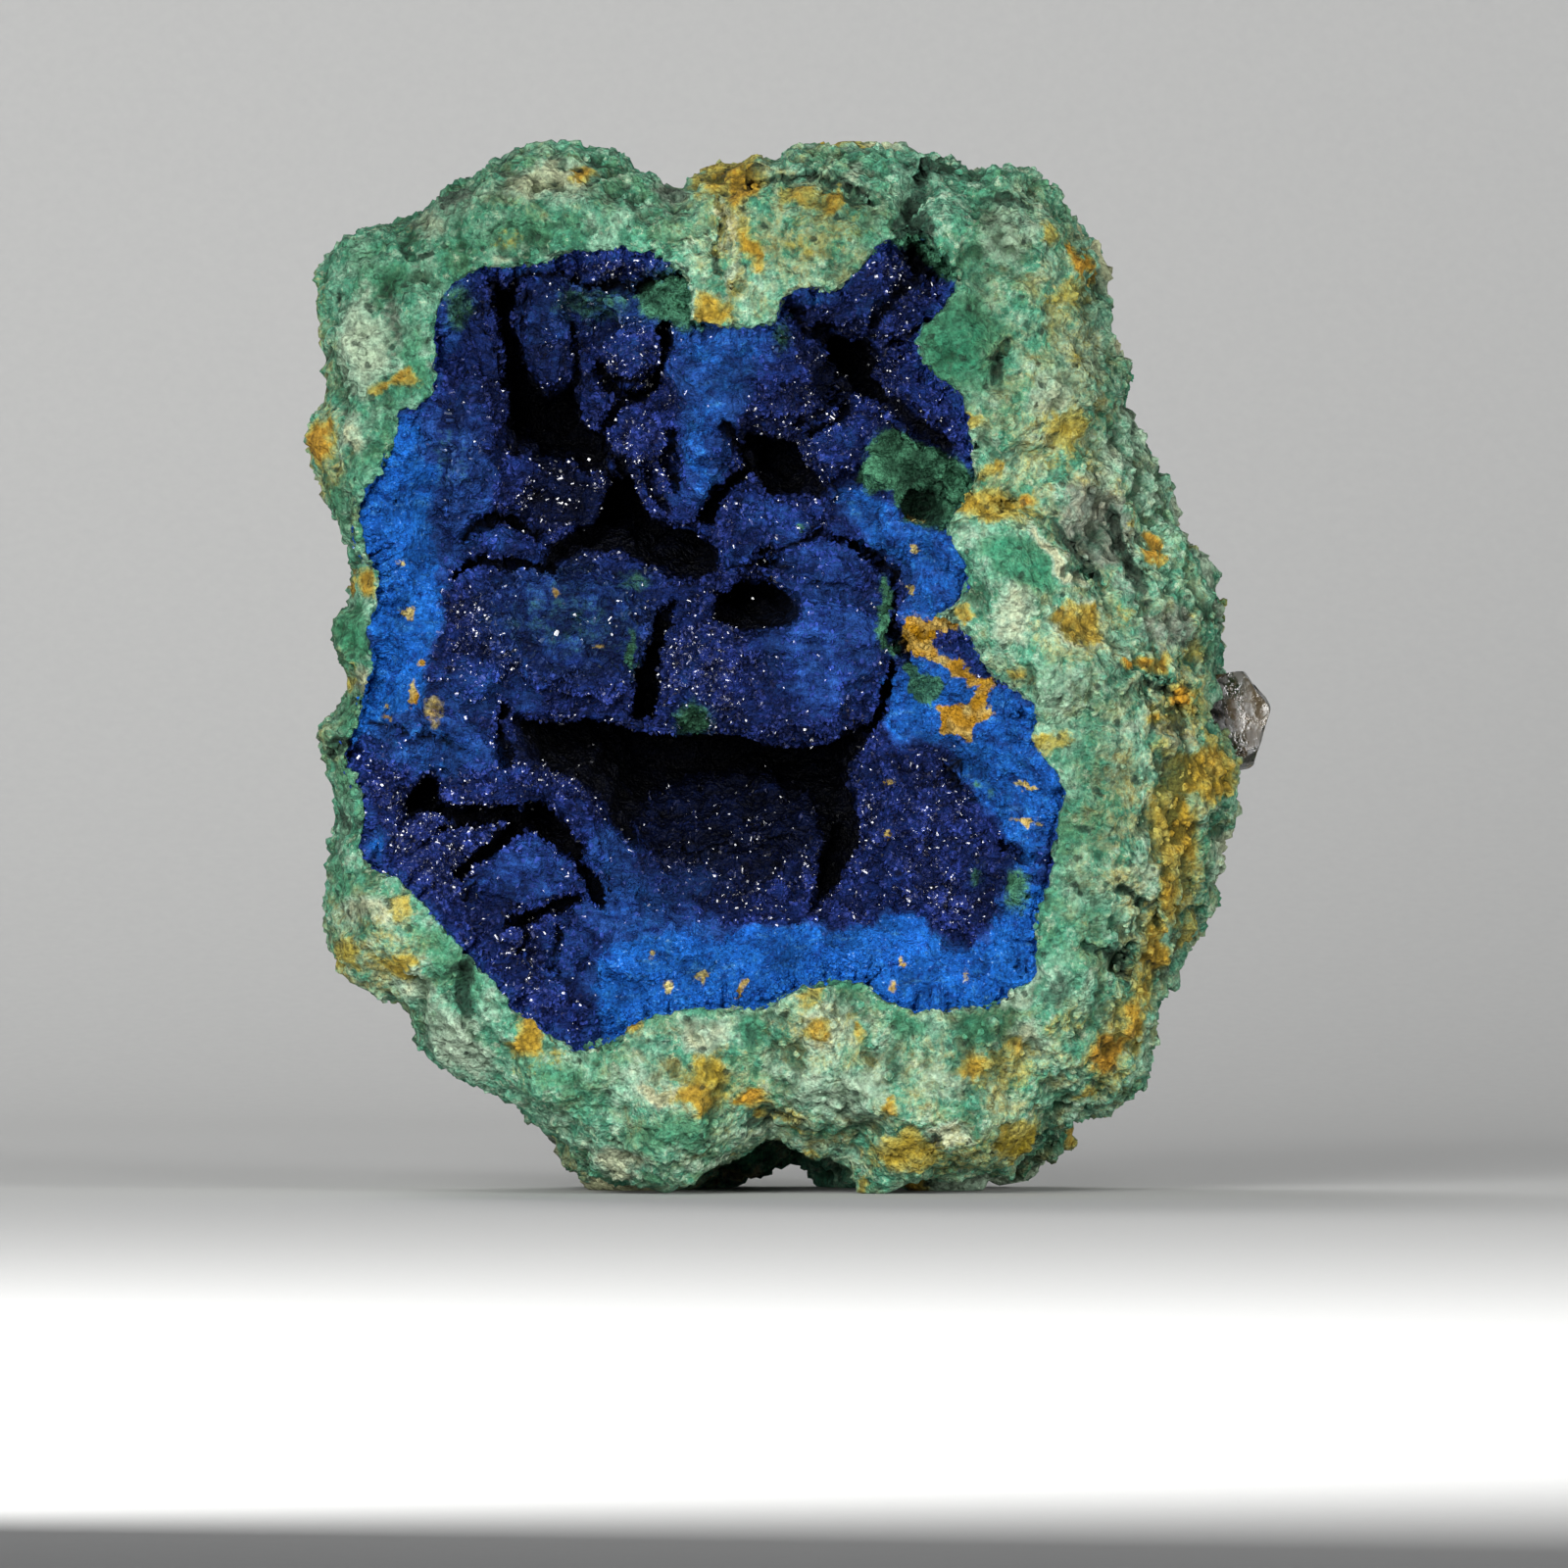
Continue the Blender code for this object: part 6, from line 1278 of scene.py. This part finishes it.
# Painted shade: on the front the rock is darker where its dull zone lies, mostly near the top
dull = add(tree, "ShaderNodeAttribute", attribute_name="dull").outputs["Fac"]
colour = add(tree, "ShaderNodeMix", {MIX_FACTOR: dull, MIX_A: colour, MIX_B: linear("#CBD2CC")},
             data_type="RGBA", blend_type="MULTIPLY").outputs[MIX_COLOUR]
print("Stains:", [zone for zone, *_ in STAINS])

# %% Malachite-stained rock: painted shade in recesses and pores, painted highlight on peaks
# Painted shade in recesses and open pores (about two in five, small dark dots), a painted highlight on peaks
height = add(tree, "ShaderNodeAttribute", attribute_name="height").outputs["Fac"]
colour, _ = lay_over(tree, colour, height, -0.15, -1.0, 0.85, "#62705F", blend_type="MULTIPLY")
colour, _ = lay_over(tree, colour, height, 0.1, 0.7, 0.14, "#B4C0A4")
pore_here = add(tree, "ShaderNodeSeparateColor", {"Color": pores.outputs["Color"]}).outputs["Red"]
is_open = add(tree, "ShaderNodeMath", {0: pore_here, 1: 0.6}, operation="GREATER_THAN").outputs["Value"]
colour, pore_shade_and_dip = lay_over(tree, colour, pores.outputs["Distance"], 0.26, 0.12, 0.75, "#1C2C22", within=is_open)
print("Rock material so far:", len(tree.nodes), "nodes")

# %% Malachite-stained rock: grain by grain
# Each grain has its own shade, so the crumbs have crisp edges
own_shade = add(tree, "ShaderNodeSeparateColor", {"Color": crumble.outputs["Color"]}).outputs["Green"]
grain_shade = add(tree, "ShaderNodeMapRange", {"Value": own_shade, "To Min": 0.6, "To Max": 1.27})
colour = shaded(tree, colour, grain_shade.outputs["Result"], [(specks, 0.3, 0.7, 0.54, 1.36)])
tree.links.new(colour, shader.inputs["Base Color"])
shader.inputs["Roughness"].default_value = 0.92
shader.inputs["Specular IOR Level"].default_value = 0.25
bumps = add(tree, "ShaderNodeMath", {0: specks, 1: flecks}, operation="ADD").outputs["Value"]
for pattern, depth in ((crumble.outputs["Distance"], -1.2), (pore_shade_and_dip, -1.0)):
    bumps = add(tree, "ShaderNodeMath", {0: pattern, 1: depth, 2: bumps},
                operation="MULTIPLY_ADD").outputs["Value"]
bump = add(tree, "ShaderNodeBump", {"Height": bumps, "Strength": 0.9, "Distance": 0.4 * MM})
tree.links.new(bump.outputs["Normal"], shader.inputs["Normal"])
print("Rock material:", len(tree.nodes), "nodes")

# %% [markdown]
# ## The azurite's materials
# Azurite is a copper carbonate too, and one of the strongest blues in nature. As powder it is matt and
# slightly uneven, like artists' pigment. In the druse it is so deep that it looks black, with a blue glow
# only where light gets through. One blue for all of it would look like paint. So the skin's material goes
# from powder to the floor of the druse by the stored zones, and the crystals have two more: dusted ones
# hardly shine and keep their blue, and clean ones are glossy and glitter.

# %% Azurite powder and druse floor: blues and patterns
def blue_of_level(tree, level, dark, middle, bright):
    """Dark where the stored level is 0, the middle blue at about a half and the bright one at 1."""
    blue = dark
    for low, high, next_blue in ((0.12, 0.5, middle), (0.5, 0.9, bright)):
        share = add(tree, "ShaderNodeMapRange", {"Value": level, "From Min": low, "From Max": high},
                    interpolation_type="SMOOTHSTEP").outputs["Result"]
        blue = add(tree, "ShaderNodeMix", {MIX_FACTOR: share, MIX_A: blue, MIX_B: next_blue},
                   data_type="RGBA").outputs[MIX_COLOUR]
    return blue


# Fine powder scatters light and is a bright matt blue, and the floor of the druse swallows most of it
azurite_material, tree, shader, here = start_material("azurite_powder_and_druse")
# Azurite splits into slivers, so part of its pattern is drawn out along one slant
along = add(tree, "ShaderNodeMapping", {"Vector": here, "Rotation": (0.0, math.radians(34), 0.0),
                                        "Scale": (0.3, 1.0, 1.0)}).outputs["Vector"]
# Where it is read, millimetres across, detail, roughness: patches, mottling, crumbs of powder, slivers
patches, mottle, specks, streaks = (
    add(tree, "ShaderNodeTexNoise", {"Vector": place, "Scale": per_mm(size), "Detail": detail,
                                     "Roughness": roughness}).outputs["Fac"]
    for place, size, detail, roughness in (
        (here, 3.0, 4.0, 0.65), (here, 1.2, 5.0, 0.72), (here, 0.34, 2.0, 0.6), (along, 0.9, 5.0, 0.72),
    )
)
crumble = add(tree, "ShaderNodeTexVoronoi", {"Vector": here, "Scale": per_mm(0.6), "Detail": 1.5,
                                             "Roughness": 0.6, "Randomness": 1.0})
print("Patterns of the azurite:", sum(node.type in PATTERN_TYPES for node in tree.nodes))

# %% Azurite powder and druse floor: their colours
# Noise, where it starts and ends to count, its strongest share, and the colour that it brings in
POWDER_MOTTLING = [
    (patches, 0.42, 0.62, 0.9, "#1E69C2"), (mottle, 0.54, 0.70, 0.6, "#3A88CC"),
    (mottle, 0.47, 0.34, 0.85, "#153A86"), (streaks, 0.57, 0.66, 0.4, "#559AC8"),
    (streaks, 0.43, 0.33, 0.6, "#14326E"), (specks, 0.66, 0.74, 0.5, "#8FB2C8"),
]
bright = linear("#1A5CB4")
for pattern, low, high, strongest, tint in POWDER_MOTTLING:
    bright, _ = lay_over(tree, bright, pattern, low, high, strongest, tint)
spread = add(tree, "ShaderNodeMapRange", {"Value": streaks, "From Min": 0.34, "From Max": 0.66})
spread = spread.outputs["Result"]
middle, dark = (
    add(tree, "ShaderNodeMix", {MIX_FACTOR: spread, MIX_A: linear(deep), MIX_B: linear(clear)},
        data_type="RGBA").outputs[MIX_COLOUR]
    for deep, clear in (("#0D1E58", "#2C58A4"), ("#050A22", "#182F70"))
)
powder, rust, lit_level, height = (
    add(tree, "ShaderNodeAttribute", attribute_name=zone).outputs["Fac"]
    for zone in ("powder", "rust", "lit", "height")
)
shaken = add(tree, "ShaderNodeMath", {0: mottle, 1: 1.0, 2: powder}, operation="MULTIPLY_ADD")
shaken = shaken.outputs["Value"]
level = add(tree, "ShaderNodeMath", {0: shaken, 1: 0.5}, operation="SUBTRACT").outputs["Value"]
colour = blue_of_level(tree, level, dark, middle, bright)
print("Azurite skin material so far:", len(tree.nodes), "nodes")

# %% Azurite powder and druse floor: malachite and crumbs over them
for zone, tone, first, last, low, high, strongest in (
    ("green", spread, "#1A3B29", "#54926C", 0.3, 0.75, 0.94),
    ("crumbs", rust, "#C9BB78", "#AE7F0C", 0.25, 0.7, 0.97),
):
    zone_level = add(tree, "ShaderNodeAttribute", attribute_name=zone).outputs["Fac"]
    share = rough_share(tree, zone_level, mottle, low, high, strongest)
    tint = add(tree, "ShaderNodeMix", {MIX_FACTOR: tone, MIX_A: linear(first), MIX_B: linear(last)},
               data_type="RGBA").outputs[MIX_COLOUR]
    colour = add(tree, "ShaderNodeMix", {MIX_FACTOR: share, MIX_A: colour, MIX_B: tint},
                 data_type="RGBA").outputs[MIX_COLOUR]
print("Azurite skin material so far:", len(tree.nodes), "nodes")

# %% Azurite powder and druse floor: light, shade and bump
own_shade = add(tree, "ShaderNodeSeparateColor", {"Color": crumble.outputs["Color"]}).outputs["Green"]
# Painted shade where little light reaches and in recesses, a painted highlight on raised places
shade = add(tree, "ShaderNodeMapRange", {"Value": lit_level, "From Max": 0.9, "To Min": 0.03})
colour = shaded(tree, colour, shade.outputs["Result"], [
    (specks, 0.3, 0.7, 0.6, 1.3), (height, -0.6, 0.5, 0.4, 1.25), (own_shade, 0.0, 1.0, 0.74, 1.18),
])
tree.links.new(colour, shader.inputs["Base Color"])
shine = add(tree, "ShaderNodeMapRange", {"Value": level, "To Min": 0.5, "To Max": 0.95})
tree.links.new(shine.outputs["Result"], shader.inputs["Roughness"])
shader.inputs["Specular IOR Level"].default_value = 0.08
bumps = add(tree, "ShaderNodeMath", {0: specks, 1: streaks}, operation="ADD").outputs["Value"]
bumps = add(tree, "ShaderNodeMath", {0: crumble.outputs["Distance"], 1: -0.9, 2: bumps},
            operation="MULTIPLY_ADD").outputs["Value"]
bump = add(tree, "ShaderNodeBump", {"Height": bumps, "Strength": 0.9, "Distance": 0.4 * MM})
tree.links.new(bump.outputs["Normal"], shader.inputs["Normal"])
print("Azurite skin material:", len(tree.nodes), "nodes")

# %% Azurite crystals, dusted and clean
def azurite_crystal(name, roughness, specular):
    """Deep blue that noise takes from near black to royal, darker where less light comes in."""
    material, tree, shader, here = start_material(name)
    powder, green, lit_level, height = (
        add(tree, "ShaderNodeAttribute", attribute_name=zone).outputs["Fac"]
        for zone in ("powder", "green", "lit", "height")
    )
    mottle = add(tree, "ShaderNodeTexNoise", {"Vector": here, "Scale": per_mm(0.9), "Detail": 3.0,
                                              "Roughness": 0.65}).outputs["Fac"]
    spread = add(tree, "ShaderNodeMapRange", {"Value": mottle, "From Min": 0.36, "From Max": 0.66})
    dark = add(tree, "ShaderNodeMix", {MIX_FACTOR: spread.outputs["Result"], MIX_A: linear("#080C30"),
                                       MIX_B: linear("#304394")}, data_type="RGBA").outputs[MIX_COLOUR]
    colour = blue_of_level(tree, powder, dark, linear("#2A4598"), linear("#285AA0"))
    colour = add(tree, "ShaderNodeMix", {MIX_FACTOR: green, MIX_A: colour, MIX_B: linear("#24504A")},
                 data_type="RGBA").outputs[MIX_COLOUR]
    # Painted shade where little light reaches and in recesses, a painted highlight on raised places
    shade = add(tree, "ShaderNodeMapRange", {"Value": lit_level, "From Max": 0.9, "To Min": 0.02})
    colour = shaded(tree, colour, shade.outputs["Result"], [(height, -0.6, 0.5, 0.3, 1.4)])
    tree.links.new(colour, shader.inputs["Base Color"])
    shader.inputs["Roughness"].default_value = roughness
    shader.inputs["Specular IOR Level"].default_value = specular
    shader.inputs["IOR"].default_value = 1.73  # azurite's own
    print(name, "has", len(tree.nodes), "nodes")
    return material


# A film of powder takes the shine off a crystal, so that only its own blue is seen
dusted_crystal = azurite_crystal("azurite_crystal_dusted", 0.65, 0.06)
# The faces of a clean crystal are as smooth as glass, so they flash white where they mirror a lamp
clean_crystal = azurite_crystal("azurite_crystal_clean", 0.17, 0.55)

# %% [markdown]
# ## Quartz
# Quartz is see-through, so its look comes from what it bends and soaks up. A grey surface colour would make
# it look like porcelain. It gets full transmission, its own index of refraction, and absorption for its
# tint.

# %% Smoky quartz
# Broken faces as smooth as glass, worn in places: dark where they bend the rock behind, with clear highlights
quartz_material, tree, shader, here = start_material("smoky_quartz")
veils = add(tree, "ShaderNodeTexNoise", {"Vector": here, "Scale": per_mm(1.6), "Detail": 4.0,
                                         "Roughness": 0.6})
worn = add(tree, "ShaderNodeMapRange", {"Value": veils.outputs["Fac"], "From Min": 0.4, "From Max": 0.7,
                                        "To Min": 0.08, "To Max": 0.5}, interpolation_type="SMOOTHSTEP")
tree.links.new(worn.outputs["Result"], shader.inputs["Roughness"])
shader.inputs["Base Color"].default_value = linear("#DDD2B2")
shader.inputs["Transmission Weight"].default_value = 1.0
shader.inputs["IOR"].default_value = 1.544  # quartz's own
bump = add(tree, "ShaderNodeBump", {"Height": veils.outputs["Fac"], "Strength": 0.5, "Distance": 0.3 * MM})
tree.links.new(bump.outputs["Normal"], shader.inputs["Normal"])
absorption = add(tree, "ShaderNodeVolumeAbsorption", {"Color": linear("#B09C74"), "Density": 620.0})
output = next(node for node in tree.nodes if node.type == "OUTPUT_MATERIAL")
tree.links.new(absorption.outputs["Volume"], output.inputs["Volume"])
print("Quartz material:", len(tree.nodes), "nodes")

# %% [markdown]
# ## Each piece gets its finish and its place
# Every new piece gets its material and moves with a body, and the CAD node that it stands for is hidden.
# The specimen has one body, root.

# %% Materials, slots and bodies
# Piece, material, slot, and the node that it replaces
PIECES = [
    (rock, rock_material, "host_rock", "host_rock"), (grains, rock_material, "host_rock", None),
    (crust, azurite_material, "azurite", "azurite_crust"),
    (quartz, quartz_material, "quartz", "quartz_grain"), (loose, azurite_material, "azurite", None),
]
PIECES += [(piece, dusted_crystal, "azurite", None) for piece in druse]
PIECES += [(piece, clean_crystal, "azurite", None) for piece in glints]
for piece, material, slot, node in PIECES:
    piece.data.materials.append(material)
    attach(piece, "root")
    if node:
        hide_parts(node)
print("Pieces:", [piece.name for piece, *_ in PIECES])

# %% [markdown]
# ## The studio
# A pale sheet of paper runs from under the specimen up behind it in one curve, so no horizon shows from the
# front. A plane and a wall would meet in a line, so the wall is spun out of the plane's far edge instead. A
# large soft lamp stands in front at the left, a weaker one fills the shadows from the right, a small one is
# there only to make the druse glitter, and one behind lights the back. The room itself stays dim, because
# dark crystals mirror whatever is in front of them.

# %% Floor and backdrop
SHEET_WIDTH = 2400.0
SHEET_FRONT, SHEET_BEND, SHEET_RADIUS, SHEET_HEIGHT = -1500.0, 350.0, 260.0, 1300.0

bpy.ops.object.select_all(action="DESELECT")
bpy.ops.mesh.primitive_plane_add(size=1.0)
sheet = bpy.context.object
sheet.name = "paper_sheet"
sheet.scale = (SHEET_WIDTH * MM, (SHEET_BEND - SHEET_FRONT) * MM, 1.0)
sheet.location = (0.0, 0.5 * (SHEET_BEND + SHEET_FRONT) * MM, 0.0)
bpy.ops.object.transform_apply(location=True, rotation=False, scale=True)
bpy.ops.object.mode_set(mode="EDIT")
bpy.ops.mesh.select_mode(type="EDGE")
bpy.ops.mesh.select_all(action="DESELECT")
bpy.ops.object.mode_set(mode="OBJECT")
for edge in sheet.data.edges:
    edge.select = all(sheet.data.vertices[v].co.y > 0 for v in edge.vertices)
bpy.ops.object.mode_set(mode="EDIT")
bpy.ops.mesh.spin(steps=16, angle=math.radians(-90), center=(0.0, SHEET_BEND * MM, SHEET_RADIUS * MM),
                  axis=(1.0, 0.0, 0.0))
bpy.ops.mesh.extrude_region_move(TRANSFORM_OT_translate={"value": (0.0, 0.0, SHEET_HEIGHT * MM)})
bpy.ops.mesh.select_all(action="SELECT")
bpy.ops.mesh.remove_doubles(threshold=0.1 * MM)
bpy.ops.mesh.normals_make_consistent(inside=False)
bpy.ops.object.mode_set(mode="OBJECT")
if sum(face.area * face.normal.z for face in sheet.data.polygons) < 0.0:
    sheet.data.flip_normals()
only(sheet)
bpy.ops.object.shade_smooth()
top = max(v.co.z for v in sheet.data.vertices)
print("Backdrop rises to", round(top / MM), "mm")

# %% Studio paper
# Matt paper: an even pale ground that shows the specimen's shadow and nothing else
paper, tree, shader, here = start_material("studio_paper")
fibres = add(tree, "ShaderNodeTexNoise", {"Vector": here, "Scale": per_mm(1.2), "Detail": 3.0})
tone = add(tree, "ShaderNodeMix", {MIX_FACTOR: fibres.outputs["Fac"], MIX_A: linear("#BDBDBC"),
                                   MIX_B: linear("#C4C4C2")}, data_type="RGBA")
tree.links.new(tone.outputs[MIX_COLOUR], shader.inputs["Base Color"])
shader.inputs["Roughness"].default_value = 0.9
shader.inputs["Specular IOR Level"].default_value = 0.1
# Seen from behind the sheet isn't there, so the specimen can be looked at from every side
behind = add(tree, "ShaderNodeNewGeometry").outputs["Backfacing"]
unseen = add(tree, "ShaderNodeBsdfTransparent").outputs["BSDF"]
one_sided = add(tree, "ShaderNodeMixShader", {0: behind, 1: shader.outputs["BSDF"], 2: unseen})
output = next(node for node in tree.nodes if node.type == "OUTPUT_MATERIAL")
tree.links.new(one_sided.outputs["Shader"], output.inputs["Surface"])
sheet.data.materials.append(paper)
print("Paper material:", len(tree.nodes), "nodes")

# %% Lamps
AIM = Vector((0.0, 0.0, 46.0)) * MM
# Name, place in mm, watts, size in mm
LAMPS = [
    ("key_softbox", (-240.0, -720.0, 200.0), 7.4, 360.0),
    ("fill_softbox", (560.0, -640.0, 170.0), 4.6, 320.0),
    ("glitter_lamp", (140.0, -760.0, 420.0), 0.5, 60.0),
    ("back_softbox", (-300.0, 500.0, 700.0), 3.0, 400.0),
]
for name, place, watts, size in LAMPS:
    lamp_data = bpy.data.lights.new(name, "AREA")
    lamp_data.energy = watts
    lamp_data.size = size * MM
    lamp = bpy.data.objects.new(name, lamp_data)
    lamp.location = Vector(place) * MM
    lamp.rotation_euler = (AIM - lamp.location).to_track_quat("-Z", "Y").to_euler()
    bpy.context.scene.collection.objects.link(lamp)

world = bpy.data.worlds.new("dim_room")
world.use_nodes = True
world.node_tree.nodes["Background"].inputs["Color"].default_value = linear("#B8BCC4")
world.node_tree.nodes["Background"].inputs["Strength"].default_value = 0.16
bpy.context.scene.world = world
bpy.context.scene.view_settings.view_transform = "Standard"
print("Lamps:", [name for name, *_ in LAMPS])
